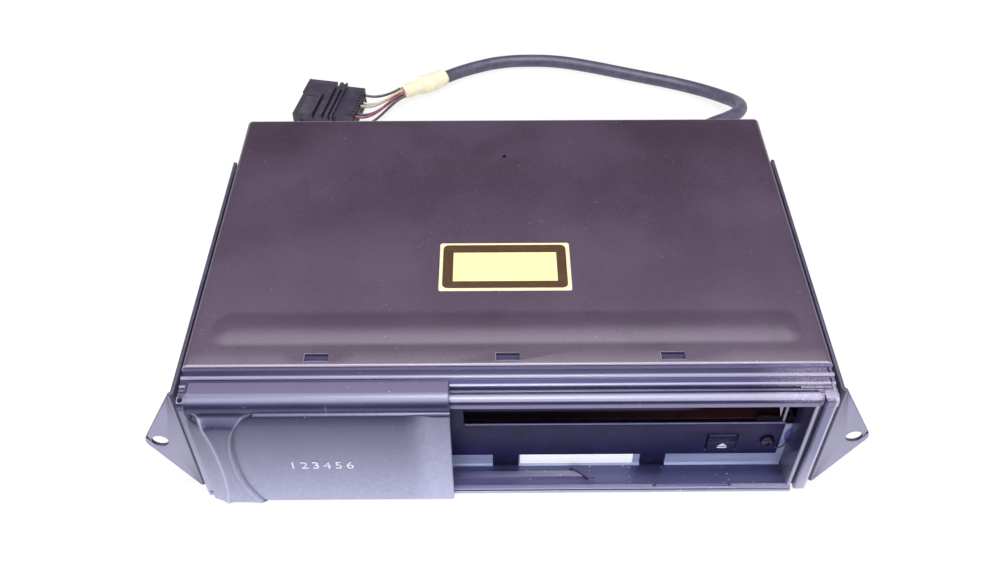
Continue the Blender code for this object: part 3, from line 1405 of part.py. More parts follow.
def arc_points(centre, radius, start, end, steps=ARC_STEPS * 2):
    return [
        (
            centre[0] + radius * math.cos(start + (end - start) * i / steps),
            centre[1] + radius * math.sin(start + (end - start) * i / steps),
        )
        for i in range(steps + 1)
    ]


def make_turntable():
    base = PLATE_TOP + GAP
    step = DISC_REST - GEAR_MODULE
    profile = (
        (0, DISC_REST + HUB_HEIGHT),
        (HUB_RADIUS * 0.86, DISC_REST + HUB_HEIGHT),
        (HUB_RADIUS, DISC_REST),
        (TURNTABLE_RADIUS, DISC_REST),
        (TURNTABLE_RADIUS, step),
        (HUB_RADIUS, step),
        (HUB_RADIUS, base),
        (SPINDLE_RADIUS, base),
        (SPINDLE_RADIUS, PLATE_LOW - GAP - SPINDLE_MOTOR_HEIGHT / 2),
        (0, PLATE_LOW - GAP - SPINDLE_MOTOR_HEIGHT / 2),
    )
    x, y = TURNTABLE_X, TURNTABLE_Y
    part("turntable", turned_mesh(profile, (x, y, 0)), white_moulding(), (x, y, DISC_REST))


def make_spindle_motor():
    top = PLATE_LOW - GAP
    low = top - SPINDLE_MOTOR_HEIGHT
    bore = SPINDLE_RADIUS + GAP
    profile = (
        (bore, top),
        (SPINDLE_MOTOR_RADIUS, top),
        (SPINDLE_MOTOR_RADIUS, low + SPINDLE_MOTOR_HEIGHT / 4),
        (SPINDLE_MOTOR_RADIUS * 0.9, low),
        (0, low),
        (0, low + SPINDLE_MOTOR_HEIGHT / 4),
        (bore, low + SPINDLE_MOTOR_HEIGHT / 4),
        (bore, top),
    )
    part("spindle_motor", turned_mesh(profile, (TURNTABLE_X, TURNTABLE_Y, 0)), bright_steel())


def make_pickup_sled():
    """A block that runs on the rod and the lead screw, with the lens tower in the carrier's window."""
    x, y = TURNTABLE_X, SLED_Y
    reach = ROD_SPREAD + SLED_SIDE
    half = SLED_LENGTH / 2
    low = SLED_TOP - SLED_HEIGHT
    block = box_mesh((x - reach, y - half, low), (x + reach, y + half, SLED_TOP))
    obj = part("pickup_sled", block, dark_moulding(), (x, y, SLED_TOP))
    tower = LENS_RADIUS + SLED_SIDE / 2
    join(obj, box_mesh((x - tower, y - tower, low + SLED_HEIGHT / 2), (x + tower, y + tower, LENS_SEAT)))
    for rod_x in (x - ROD_SPREAD, x + ROD_SPREAD):
        start = (rod_x, y + half + OVERRUN, ROD_AXIS)
        cut(obj, rod_mesh(ROD_RADIUS + GAP, start, SLED_LENGTH + OVERRUN * 2, "Y", SMALL_ROUND_STEPS))


def make_pickup_lens():
    low = LENS_SEAT + GAP
    profile = (
        (0, LENS_TOP),
        (LENS_RADIUS * 0.5, LENS_TOP - GAP),
        (LENS_RADIUS * 0.8, LENS_TOP - GAP * 2),
        (LENS_RADIUS, low + GAP),
        (LENS_RADIUS, low),
        (0, low),
    )
    part("pickup_lens", turned_mesh(profile, (TURNTABLE_X, SLED_Y, 0)), material("lens_glass", "#8FA7C8", 0.05))


def make_rods():
    """The guide rod, the lead screw and the screw's motor."""
    front, back = rod_front(), rod_back()
    rod_x, screw_x = TURNTABLE_X + ROD_SPREAD, TURNTABLE_X - ROD_SPREAD
    rod = rod_mesh(ROD_RADIUS, (rod_x, back, ROD_AXIS), back - front, "Y", SMALL_ROUND_STEPS)
    part("guide_rod", rod, bright_steel())
    into_motor = SLED_MOTOR_LENGTH / 4
    screw = rod_mesh(ROD_RADIUS, (screw_x, back + into_motor, ROD_AXIS), back + into_motor - front, "Y", SMALL_ROUND_STEPS)
    part("lead_screw", screw, bright_steel(), (screw_x, back, ROD_AXIS))
    bore = ROD_RADIUS + GAP
    depth = into_motor + GAP
    profile = (
        (bore, 0),
        (SLED_MOTOR_RADIUS, 0),
        (SLED_MOTOR_RADIUS, -SLED_MOTOR_LENGTH),
        (0, -SLED_MOTOR_LENGTH),
        (0, -depth),
        (bore, -depth),
        (bore, 0),
    )
    motor = turned_mesh(profile, (0, 0, 0), "Y")
    motor.transform(Matrix.Translation((screw_x, back, ROD_AXIS)))
    obj = part("sled_motor", motor, bright_steel())
    flat = (screw_x - SLED_MOTOR_RADIUS - OVERRUN, back - OVERRUN, PLATE_LOW - GAP)
    end = (screw_x + SLED_MOTOR_RADIUS + OVERRUN, back + SLED_MOTOR_LENGTH + OVERRUN, PLATE_TOP + OVERRUN)
    cut(obj, box_mesh(flat, end))


def make_clamp():
    """An arm on a pin behind the turntable, and the puck that hangs in its round end."""
    x, y = TURNTABLE_X, TURNTABLE_Y
    low, high = CLAMP_HEIGHT - CLAMP_SHEET / 2, CLAMP_HEIGHT + CLAMP_SHEET / 2
    half = CLAMP_WIDTH / 2
    outline = [
        (x - half, CLAMP_Y),
        *arc_points((x, y), half, -math.pi, 0),
        (x + half, CLAMP_Y),
    ]
    hole = ring_points((x, y), PUCK_NECK_RADIUS + GAP)
    obj = part("clamp_arm", plate_mesh(outline, low, high, "Z", (hole,)), zinc_steel(), (x, CLAMP_Y, CLAMP_HEIGHT))
    start = (x - CLAMP_BARREL_HALF, CLAMP_Y, CLAMP_HEIGHT)
    join(obj, rod_mesh(CLAMP_BARREL_RADIUS, start, CLAMP_BARREL_HALF * 2, "X"))
    over = (x - CLAMP_BARREL_HALF - OVERRUN, CLAMP_Y, CLAMP_HEIGHT)
    cut(obj, rod_mesh(CLAMP_PIN_RADIUS + GAP, over, (CLAMP_BARREL_HALF + OVERRUN) * 2, "X", SMALL_ROUND_STEPS))
    reach = CLAMP_BARREL_HALF + CLAMP_LUG + GAP
    pin = rod_mesh(CLAMP_PIN_RADIUS, (x - reach, CLAMP_Y, CLAMP_HEIGHT), reach * 2, "X", SMALL_ROUND_STEPS)
    part("clamp_pin", pin, bright_steel())
    dish = HUB_RADIUS + GAP
    profile = (
        (0, high + GAP + PUCK_CAP),
        (PUCK_CAP_RADIUS, high + GAP + PUCK_CAP),
        (PUCK_CAP_RADIUS, high + GAP),
        (PUCK_NECK_RADIUS, high + GAP),
        (PUCK_NECK_RADIUS, PUCK_LOW + PUCK_HEIGHT),
        (PUCK_RADIUS, PUCK_LOW + PUCK_HEIGHT),
        (PUCK_RADIUS, PUCK_LOW),
        (dish, PUCK_LOW),
        (dish, PUCK_LOW + PUCK_HEIGHT / 3),
        (0, PUCK_LOW + PUCK_HEIGHT / 3),
    )
    part("clamp_puck", turned_mesh(profile, (x, y, 0)), dark_moulding(), (x, y, PUCK_LOW))


def ramp_slots():
    """Slanted slots in (y, z): as the slide goes back, each follower pin climbs its slot."""
    reach = PIN_RADIUS + PIN_CLEARANCE
    return [
        stadium((y, FOLLOWER_LOW), (y - RAMP_TRAVEL, FOLLOWER_LOW + LIFT_TRAVEL), reach)
        for y in (FRONT_FOLLOWER, BACK_FOLLOWER)
    ]


def rack_teeth(first, last):
    """Straight teeth along the top of the left slide, with a gap under the gear's lowest tooth."""
    pitch = math.pi * GEAR_MODULE
    root = RACK_PITCH_LINE - GEAR_MODULE * ROOT_SHARE
    tip = RACK_PITCH_LINE + GEAR_MODULE * TIP_SHARE
    wide = pitch / 2 - TOOTH_SLACK / 2
    lean = math.tan(math.radians(20)) * GEAR_MODULE
    points = []
    count = math.ceil((first - GEAR_Y) / pitch)
    while GEAR_Y + (count + 1) * pitch <= last:
        middle = GEAR_Y + (count + 0.5) * pitch
        foot, top = wide / 2 + lean * ROOT_SHARE, wide / 2 - lean * TIP_SHARE
        points += [(middle - foot, root), (middle - top, tip), (middle + top, tip), (middle + foot, root)]
        count += 1
    return points


def make_ramp_slide(name, left):
    front = FRONT_FOLLOWER - RAMP_TRAVEL - RAMP_MARGIN
    back = BACK_FOLLOWER + RAMP_MARGIN
    if name.endswith("left"):
        back = GEAR_Y + GEAR_RADIUS
        root = RACK_PITCH_LINE - GEAR_MODULE * ROOT_SHARE
        rack_front = GEAR_Y - RAMP_TRAVEL - GEAR_RADIUS
        teeth = rack_teeth(rack_front, back)
        outline = [(front, RAMP_LOW), (back, RAMP_LOW), (back, root), *reversed(teeth), (front, root)]
    else:
        outline = rectangle(front, RAMP_LOW, back, RAMP_TOP)
    mesh = plate_mesh(outline, left, left + RAMP_SHEET, "X", ramp_slots())
    part(name, mesh, zinc_steel(), (left, FRONT_FOLLOWER, FOLLOWER_LOW))


def gear_outline(centre, teeth, first_angle):
    """Involute teeth in (y, z), one of them centred on first_angle."""
    radius = GEAR_MODULE * teeth / 2
    base = radius * math.cos(math.radians(20))
    root, tip = radius - GEAR_MODULE * ROOT_SHARE, radius + GEAR_MODULE * TIP_SHARE
    half_at_pitch = math.pi / (2 * teeth) - TOOTH_SLACK / (4 * radius)
    points = []
    levels = [max(base, root) + (tip - max(base, root)) * i / 2 for i in range(3)]
    for index in range(teeth):
        middle = first_angle + 2 * math.pi * index / teeth
        flank = [(level, half_at_pitch + involute(base / radius) - involute(base / level)) for level in levels]
        if root < base:
            flank.insert(0, (root, flank[0][1]))
        rising = [(r, middle - angle) for r, angle in flank]
        falling = [(r, middle + angle) for r, angle in reversed(flank)]
        points += [(centre[0] + r * math.cos(a), centre[1] + r * math.sin(a)) for r, a in rising + falling]
    return points


def involute(cosine):
    angle = math.acos(min(1.0, cosine))
    return math.tan(angle) - angle


def make_lift_drive():
    """Gear on the chassis axle in mesh with the left slide's rack, and the motor with its pinion."""
    left, right = RAMP_LEFT_OUT, RAMP_LEFT_OUT + RAMP_SHEET
    gear_at = (left, GEAR_Y, GEAR_Z)
    bore = ring_points(gear_at[1:], GEAR_BORE_RADIUS, SMALL_ROUND_STEPS)
    gear = plate_mesh(gear_outline(gear_at[1:], GEAR_TEETH, -math.pi / 2), left, right, "X", (bore,))
    part("drive_gear", gear, white_moulding(), gear_at)
    pinion_at = (left, PINION_Y, PINION_Z)
    facing = math.radians(PINION_ANGLE) + math.pi
    pinion = plate_mesh(gear_outline(pinion_at[1:], PINION_TEETH, facing), left, right, "X")
    obj = part("motor_pinion", pinion, white_moulding(), pinion_at)
    shaft_length = LIFT_MOTOR_LENGTH / 3
    shaft_start = (right - RAMP_SHEET / 2, PINION_Y, PINION_Z)
    join(obj, rod_mesh(SPINDLE_RADIUS, shaft_start, shaft_length, "X", SMALL_ROUND_STEPS))
    bore_radius = SPINDLE_RADIUS + GAP
    profile = (
        (0, LIFT_MOTOR_LENGTH),
        (LIFT_MOTOR_RADIUS, LIFT_MOTOR_LENGTH),
        (LIFT_MOTOR_RADIUS, 0),
        (bore_radius, 0),
        (bore_radius, shaft_length),
        (0, shaft_length),
    )
    motor = turned_mesh(profile, (right + GAP, PINION_Y, PINION_Z), "X")
    part("lift_motor", motor, bright_steel())
    cradle_radius = LIFT_MOTOR_RADIUS + GAP
    outline = [
        (PINION_Y - LIFT_MOTOR_RADIUS, CHASSIS_FLOOR + GAP),
        (PINION_Y + LIFT_MOTOR_RADIUS, CHASSIS_FLOOR + GAP),
        (PINION_Y + LIFT_MOTOR_RADIUS, PINION_Z - LIFT_MOTOR_RADIUS / 2),
        *arc_points((PINION_Y, PINION_Z), cradle_radius, -math.pi / 6, -math.pi * 5 / 6),
        (PINION_Y - LIFT_MOTOR_RADIUS, PINION_Z - LIFT_MOTOR_RADIUS / 2),
    ]
    start = right + GAP + CRADLE_INSET
    cradle = plate_mesh(outline, start, start + LIFT_MOTOR_LENGTH - CRADLE_INSET * 2, "X")
    part("motor_cradle", cradle, dark_moulding())


def make_main_board():
    """The printed circuit board with its chips, capacitors and cable socket, one rigid piece."""
    left = MID_WALL_LEFT + CHASSIS_SHEET + BOARD_MARGIN
    right = CHASSIS_RIGHT - CHASSIS_SHEET - BOARD_MARGIN
    front, back = BOARD_FRONT, CHASSIS_BACK - BOARD_MARGIN
    top = BOARD_LOW + BOARD_SHEET
    width, depth = right - left, back - front
    board = box_mesh((left, front, BOARD_LOW), (right, back, top))
    obj = part("main_board", board, material("board_green", "#2F5B34", 0.4))
    seat = top - BOARD_SHEET / 2
    for x_share, y_share, size_share in CHIP_PLACE_SHARES:
        x, y, size = left + width * x_share, front + depth * y_share, depth * size_share
        join(obj, box_mesh((x, y, seat), (x + size, y + size, top + CHIP_HEIGHT)))
    for x_share, y_share in CAPACITOR_PLACE_SHARES:
        start = (left + width * x_share, front + depth * y_share, seat)
        join(obj, rod_mesh(CAPACITOR_RADIUS, start, top + CAPACITOR_HEIGHT - seat, steps=SMALL_ROUND_STEPS))
    socket = width * SOCKET_WIDTH_SHARE
    low = (right - BOARD_MARGIN - socket, back - SOCKET_HEIGHT, seat)
    join(obj, box_mesh(low, (right - BOARD_MARGIN, back - BOARD_MARGIN / 2, top + SOCKET_HEIGHT)))


def make_cable_grommet():
    """Strain relief: a body through both rear walls, a flange outside and a tapered boot."""
    inside = -COVER_SHEET * 2 - PAN_SHEET - GAP
    flange = GAP + GROMMET_FLANGE
    profile = (
        (0, GROMMET_LENGTH),
        (CABLE_DIAMETER * 0.58, GROMMET_LENGTH),
        (CABLE_DIAMETER * 0.62, GROMMET_LENGTH * 0.9),
        (GROMMET_BODY_RADIUS * 1.12, flange),
        (GROMMET_FLANGE_RADIUS, flange),
        (GROMMET_FLANGE_RADIUS, GAP),
        (GROMMET_BODY_RADIUS, GAP),
        (GROMMET_BODY_RADIUS, inside),
        (0, inside),
    )
    mesh = turned_mesh([(r, h) for r, h in profile], (0, 0, 0), "Z")
    mesh.transform(Matrix.Translation((CABLE_X, CASE_DEPTH, CABLE_EXIT_HEIGHT)) @ Matrix.Rotation(-math.pi / 2, 4, "X"))
    part("cable_grommet", mesh, soft_rubber())


def make_cable():
    route = smooth_route(CABLE_ROUTE, CABLE_DIAMETER)
    part("cable", tube_mesh(route, CABLE_DIAMETER / 2), soft_rubber())
    tape = tube_mesh([Vector(p) for p in TAPE_ROUTE], TAPE_RADIUS, TAPE_RADIUS_SHARES)
    part("tape_wrap", tape, material("paper_tape", "#E9E2C6", 0.8))
    make_wires()
    make_plug()


def plug_matrix():
    return Matrix.Translation((*PLUG_PLACE, 0)) @ Matrix.Rotation(math.radians(PLUG_TURN), 4, "Z")


def make_wires():
    """The cores that fan from the tape's end to the plug body, each a thin tube of its own."""
    start = Vector(TAPE_ROUTE[-1])
    heading = (start - Vector(TAPE_ROUTE[-2])).normalized()
    across = heading.cross(Vector((0, 0, 1)))
    turn = plug_matrix()
    for index in range(WIRE_COUNT):
        share = index / (WIRE_COUNT - 1) - 0.5
        row = Vector((0, 0, WIRE_ROW_HALF * (1 if index % 2 else -1)))
        begin = start + heading * GAP * 2 + across * share * TAPE_RADIUS * 1.05 + row
        end = turn @ Vector(
            (
                PLUG_BODY_LENGTH + GAP,
                share * (PLUG_DEPTH - PLUG_BODY_INSET * 4),
                PLUG_HEIGHT / 2,
            )
        ) + row
        out = turn.to_3x3() @ Vector((1, 0, 0))
        sag = Vector((0, 0, -PLUG_HEIGHT / 8))
        reach = (end - begin).length / 3
        knots = [begin, begin + heading * reach + sag, end + out * reach + sag, end]
        points = [bezier(knots, i / SMALL_ROUND_STEPS) for i in range(SMALL_ROUND_STEPS + 1)]
        colour = WIRE_COLOURS[index]
        name = f"wire_{colour[0]}"
        part(name, tube_mesh(points, WIRE_RADIUS, resolution=1), material(name, colour[1], 0.45))


def bezier(knots, t):
    a, b, c, d = knots
    return a * (1 - t) ** 3 + b * 3 * t * (1 - t) ** 2 + c * 3 * t**2 * (1 - t) + d * t**3


def make_plug():
    """The mated connector: a ribbed housing and the wire-side body, both flat on the table."""
    depth = PLUG_DEPTH / 2
    matrix = plug_matrix()
    housing = box_mesh((-PLUG_LENGTH, -depth, 0), (-GAP, depth, PLUG_HEIGHT))
    housing = bevelled(housing, PLUG_RIB / 2)
    housing.transform(matrix)
    obj = part("plug_housing", housing, dark_moulding())
    for index in range(PLUG_RIB_COUNT):
        x = -PLUG_LENGTH * (index + 0.6) / PLUG_RIB_COUNT
        groove = box_mesh((x, -depth - OVERRUN, PLUG_HEIGHT - PLUG_RIB), (x + PLUG_RIB, depth + OVERRUN, PLUG_HEIGHT + OVERRUN))
        groove.transform(matrix)
        cut(obj, groove)
    inset = PLUG_BODY_INSET
    body = box_mesh((0, -depth + inset, 0), (PLUG_BODY_LENGTH, depth - inset, PLUG_HEIGHT - inset))
    body = bevelled(body, PLUG_RIB / 2)
    body.transform(matrix)
    part("plug_body", body, dark_moulding())


# Shares of the pieces that carry them
TRACK_FILL_SHARE = 0.6
ROOT_SHARE = 1.15
TIP_SHARE = 0.85
SOCKET_WIDTH_SHARE = 0.28
CHIP_PLACE_SHARES = ((0.12, 0.12, 0.17), (0.42, 0.30, 0.15), (0.16, 0.60, 0.12), (0.70, 0.22, 0.10))
CAPACITOR_PLACE_SHARES = ((0.36, 0.78), (0.44, 0.78), (0.62, 0.62))
WIRE_COLOURS = (
    ("brown", "#6B4A3A"),
    ("red", "#9C3038"),
    ("violet", "#5B4A78"),
    ("yellow", "#D9C36A"),
    ("white", "#D9D9D9"),
    ("black", "#26242A"),
)
WELD = 0.000002

clear_scene()
PARTS = new_collection("Car CD changer")
CUTTERS = new_collection("Cutters")
BENCH = bpy.data.objects.new("bench", None)
BENCH.location = (0, -MIDDLE_Y, 0)
PARTS.objects.link(BENCH)

make_top_cover()
make_base_pan()
make_front_bezel()
make_door_outer()
make_door_inner()
make_bracket(-1, "bracket_left")
make_bracket(1, "bracket_right")
make_bracket_screws()
make_slot_panel()
make_panel_screw()
make_eject_button()
make_eject_lever()
make_lever_pin()
make_loader_chassis()
make_magazine_cage()
make_elevator_plate()
make_turntable()
make_spindle_motor()
make_pickup_sled()
make_pickup_lens()
make_rods()
make_clamp()
make_ramp_slide("ramp_slide_left", RAMP_LEFT_OUT)
make_ramp_slide("ramp_slide_right", RAMP_RIGHT_OUT - RAMP_SHEET)
make_lift_drive()
make_main_board()
make_cable_grommet()
make_cable()
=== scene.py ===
"""Looks of a six-disc magazine changer for a car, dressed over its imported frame.

Pieces are modelled on the bench in millimetres: X from the middle of the case, Y from the bezel's front
plane towards the back, Z from the table. settle() then brings each one into the frame, in metres.
"""

import math

import bpy
from mathutils import Matrix, Vector

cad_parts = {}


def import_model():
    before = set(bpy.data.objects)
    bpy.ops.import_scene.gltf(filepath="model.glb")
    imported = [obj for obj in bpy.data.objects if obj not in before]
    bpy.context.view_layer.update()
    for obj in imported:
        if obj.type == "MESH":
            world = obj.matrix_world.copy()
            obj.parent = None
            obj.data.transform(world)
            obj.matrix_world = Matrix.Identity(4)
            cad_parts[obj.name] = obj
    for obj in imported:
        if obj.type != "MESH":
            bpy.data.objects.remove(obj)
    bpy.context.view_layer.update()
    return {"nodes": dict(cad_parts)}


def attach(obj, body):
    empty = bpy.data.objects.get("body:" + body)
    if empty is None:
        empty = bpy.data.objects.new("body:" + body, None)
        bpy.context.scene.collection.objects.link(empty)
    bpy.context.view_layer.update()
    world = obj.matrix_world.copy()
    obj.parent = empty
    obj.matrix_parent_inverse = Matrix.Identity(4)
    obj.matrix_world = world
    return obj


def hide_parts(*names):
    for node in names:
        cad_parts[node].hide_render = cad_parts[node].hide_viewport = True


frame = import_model()

QUARTER = math.pi / 2

# The bench's place in the frame, in metres. All that follows is on the bench, in millimetres
BENCH_Y = -0.0847
TOP = 65.0
CASE_HALF = 127.5
COVER_FRONT = 16.7
CASE_BACK = 175.0

# The cover's snap windows, its stamped bead, its cable hole, and the brackets' screws
SNAP_WINDOWS = (-75.2, 0.0, 65.0)
SNAP_HALF, SNAP_FRONT, SNAP_BACK = 4.65, 18.8, 22.6
BEAD_Y, BEAD_HALF_X, BEAD_HALF_Y = 35.7, 118.5, 8.0
CABLE_HOLE = (104.0, CASE_BACK, 24.0)
BRACKET_SCREWS = (37.7, 124.4)
BRACKET_SCREW_Z = 30.0
SCREW_HOLE = 1.9

# The bezel: its beam, the groove and the rim right of the opening, and the opening itself
BEZEL_HALF = 127.0
BEAM_TOP, BEAM_BOTTOM = 62.6, 57.0
TRACK_TOP, TRACK_FLOOR = 62.2, 60.6
GROOVE_LEFT, GROOVE_RIGHT = 120.0, 121.5
RIM_LEFT = GROOVE_LEFT - 1.8
OPENING_LEFT = -25.9
FLOOR_TOP = 1.0

# What shows in the opening; the button and the screw as (X, Z)
PANEL_FRONT = 12.0
BUTTON = (90.1, 19.7)
PANEL_SCREW = (109.1, 19.7)
FLANGE_NOTCHES = ((-6.2, 5.0), (57.2, 68.0))

# The pigtail
PLUG_PLACE = (-96.8, 264.0)
PLUG_TURN = -11
PLUG_SEAT = Matrix.Translation((*PLUG_PLACE, 0)) @ Matrix.Rotation(math.radians(PLUG_TURN), 4, "Z")
SHEATH_RADIUS = 3.9

CABLE_ROUTE = (
    (104.0, 195.2, 24.0), (104.6, 207.0, 24.0), (109.0, 216.5, 23.8), (118.0, 224.5, 23.1),
    (128.0, 231.5, 21.8), (136.0, 240.0, 19.6), (140.2, 250.0, 16.4), (139.6, 261.0, 12.2),
    (134.7, 271.5, 8.2), (126.5, 281.0, 5.5), (116.0, 288.0, 4.4), (104.0, 293.2, 4.3),
    (93.0, 297.2, 4.3), (75.0, 303.7, 4.3), (56.5, 310.3, 4.3), (37.6, 315.6, 4.3),
    (18.4, 317.2, 4.3), (-1.0, 315.3, 4.3), (-13.8, 310.8, 4.4), (-26.4, 304.0, 4.8),
    (-35.1, 297.2, 5.6),
)
TAPE_ROUTE = ((-35.4, 297.0, 6.4), (-43.0, 291.5, 6.4), (-52.0, 285.8, 6.4), (-60.5, 280.6, 6.4))


def world(x, y, z):
    """A bench place in millimetres as a point of the frame in metres."""
    return Vector((x / 1000, y / 1000 + BENCH_Y, z / 1000))


def pattern_y(y):
    """A bench depth as the finishes read it: in millimetres from the frame's middle."""
    return y + BENCH_Y * 1000


# Hands: selecting, placing and shaping


def pick(*pieces):
    """Selects these pieces and nothing else; the last one is active."""
    if bpy.context.mode != "OBJECT":
        bpy.ops.object.mode_set(mode="OBJECT")
    bpy.ops.object.select_all(action="DESELECT")
    for piece in pieces:
        piece.select_set(True)
        bpy.context.view_layer.objects.active = piece


def fresh(name):
    """Names the primitive that was just added, and fixes its size and place in its mesh."""
    piece = bpy.context.active_object
    piece.name = name
    bpy.ops.object.transform_apply(location=True, rotation=True, scale=True)
    return piece


def block(name, low, high):
    """A cube primitive that fills the space between two corners."""
    pick()
    low, high = Vector(low), Vector(high)
    bpy.ops.mesh.primitive_cube_add(size=1, location=(low + high) / 2)
    bpy.context.active_object.scale = high - low
    return fresh(name)


def rod(name, centre, radius, length, axis="Z", steps=48):
    """A cylinder primitive on an axis, by its middle."""
    pick()
    turn = {"X": (0, QUARTER, 0), "Y": (QUARTER, 0, 0), "Z": (0, 0, 0)}[axis]
    bpy.ops.mesh.primitive_cylinder_add(
        vertices=steps, radius=radius, depth=length, location=centre, rotation=turn,
    )
    return fresh(name)


def drawn(name, outline, axis, low, high):
    """A circle primitive whose points are pulled to an outline's corners, then extruded along an axis."""
    pick()
    bpy.ops.mesh.primitive_circle_add(vertices=len(outline), fill_type="NGON")
    piece = bpy.context.active_object
    piece.name = name
    for vertex, (u, v) in zip(piece.data.vertices, outline):
        vertex.co = {"X": (low, u, v), "Y": (u, low, v), "Z": (u, v, low)}[axis]
    depth = high - low
    move = {"X": (depth, 0, 0), "Y": (0, depth, 0), "Z": (0, 0, depth)}[axis]
    bpy.ops.object.mode_set(mode="EDIT")
    bpy.ops.mesh.select_all(action="SELECT")
    bpy.ops.mesh.extrude_region_move(TRANSFORM_OT_translate={"value": move})
    return outward(piece)


def outward(piece):
    """Turns every face of a piece, the active one, outwards."""
    bpy.ops.object.mode_set(mode="EDIT")
    bpy.ops.mesh.select_all(action="SELECT")
    bpy.ops.mesh.normals_make_consistent(inside=False)
    bpy.ops.object.mode_set(mode="OBJECT")
    return piece


def lofted(name, rings):
    """A grid primitive whose rows are laid over closed rings of points, with its seam merged and its ends
    filled."""
    pick()
    bpy.ops.mesh.primitive_grid_add(x_subdivisions=len(rings[0]), y_subdivisions=len(rings) - 1)
    piece = bpy.context.active_object
    piece.name = name
    places = [point for ring in rings for point in (*ring, ring[0])]
    for vertex, place in zip(piece.data.vertices, places, strict=True):
        vertex.co = place
    bpy.ops.object.mode_set(mode="EDIT")
    bpy.ops.mesh.select_all(action="SELECT")
    bpy.ops.mesh.remove_doubles(threshold=0.0001)
    bpy.ops.mesh.select_all(action="DESELECT")
    bpy.ops.mesh.select_mode(type="EDGE")
    bpy.ops.mesh.select_non_manifold()
    bpy.ops.mesh.fill_holes(sides=0)
    return outward(piece)


def seated(piece, seat):
    """Turns and moves a piece to its seat on the bench."""
    name = piece.name
    piece.matrix_world = seat
    pick(piece)
    return fresh(name)


def spun(name, profile, centre, way):
    """A profile of (radius, height) points, spun about an axis along Y through the centre. Its heights run
    backwards where the way is 1, and towards the front where it is -1."""
    pick()
    bpy.ops.mesh.primitive_circle_add(vertices=len(profile), fill_type="NOTHING")
    piece = bpy.context.active_object
    piece.name = name
    for vertex, (radius, height) in zip(piece.data.vertices, profile):
        vertex.co = (radius, 0, height)
    bpy.ops.object.mode_set(mode="EDIT")
    bpy.ops.mesh.select_all(action="SELECT")
    bpy.ops.mesh.spin(steps=40, angle=2 * math.pi, center=(0, 0, 0), axis=(0, 0, 1))
    bpy.ops.mesh.select_all(action="SELECT")
    bpy.ops.mesh.remove_doubles(threshold=0.0005)
    outward(piece)
    return seated(piece, Matrix.Translation(centre) @ Matrix.Rotation(-way * QUARTER, 4, "X"))


def choose(piece, kind, test):
    """Enters edit mode with only the edges or faces that pass a test selected."""
    pick(piece)
    bpy.ops.object.mode_set(mode="EDIT")
    bpy.ops.mesh.select_mode(type=kind)
    bpy.ops.mesh.select_all(action="DESELECT")
    bpy.ops.object.mode_set(mode="OBJECT")
    mesh = piece.data
    if kind == "EDGE":
        for edge in mesh.edges:
            edge.select = test(*[mesh.vertices[index].co for index in edge.vertices])
    if kind == "FACE":
        for face in mesh.polygons:
            face.select = test(face.center, face.normal)
    bpy.ops.object.mode_set(mode="EDIT")


def finished(piece, kind, **settings):
    """Puts a modifier with its settings on a piece and applies it."""
    pick(piece)
    modifier = piece.modifiers.new(kind.lower(), kind)
    for name, value in settings.items():
        setattr(modifier, name, value)
    bpy.ops.object.modifier_apply(modifier=modifier.name)
    return piece


def rounded(piece, width, segments=2, angle=30):
    """Rounds every edge that turns by more than an angle."""
    return finished(
        piece, "BEVEL", width=width, segments=segments, limit_method="ANGLE",
        angle_limit=math.radians(angle), use_clamp_overlap=True,
    )


def carved(piece, *others, operation="DIFFERENCE"):
    """Cuts, joins or crosses a piece with others, which are used up."""
    for other in others:
        finished(piece, "BOOLEAN", operation=operation, object=other, solver="EXACT")
        bpy.data.objects.remove(other, do_unlink=True)
    return piece


def together(name, *pieces):
    """Several shells kept as one piece."""
    pick(*pieces)
    bpy.ops.object.join()
    piece = bpy.context.active_object
    piece.name = name
    return piece


def copied(piece, move):
    """A copy of a piece with its own mesh, set down a step away."""
    pick(piece)
    bpy.ops.object.duplicate()
    bpy.ops.transform.translate(value=move)
    return fresh(piece.name)


def at_snaps(name, piece):
    """A piece made at the middle snap window, with its copies at the other two, as one."""
    left, _, right = SNAP_WINDOWS
    return together(name, *[copied(piece, (x, 0, 0)) for x in (left, right)], piece)


def string(name, points, radius, roundness=3, steps=8):
    """A tube through points, as a live curve: a smooth line with a round bevel."""
    curve = bpy.data.curves.new(name, "CURVE")
    curve.dimensions = "3D"
    curve.bevel_depth = radius
    curve.bevel_resolution = roundness
    curve.use_fill_caps = True
    curve.resolution_u = steps
    spline = curve.splines.new("BEZIER")
    spline.bezier_points.add(len(points) - 1)
    for knot, place in zip(spline.bezier_points, points):
        knot.co = place
        knot.handle_left_type = knot.handle_right_type = "AUTO"
    piece = bpy.data.objects.new(name, curve)
    bpy.context.collection.objects.link(piece)
    return piece


def as_mesh(piece):
    """Turns a curve or a text into a mesh."""
    pick(piece)
    bpy.ops.object.convert(target="MESH")
    return bpy.context.active_object


def settle(piece, body, slot, material, *replaced, smooth=35):
    """Brings a finished piece from the bench into the frame, dresses it and hangs it on its body."""
    pick(piece)
    bpy.ops.object.shade_smooth_by_angle(angle=math.radians(smooth))
    piece.scale = (0.001, 0.001, 0.001)
    piece.location = (0, BENCH_Y, 0)
    bpy.ops.object.transform_apply(location=True, rotation=True, scale=True)
    piece.data.materials.clear()
    piece.data.materials.append(material)
    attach(piece, body)
    if replaced:
        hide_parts(*replaced)
    return piece


def painted(piece, name, share):
    """Stores a share for each point of a piece, worked out from its place on the bench, for its finish."""
    layer = piece.data.attributes.new(name, "FLOAT", "POINT")
    for vertex, value in zip(piece.data.vertices, layer.data):
        value.value = share(vertex.co)


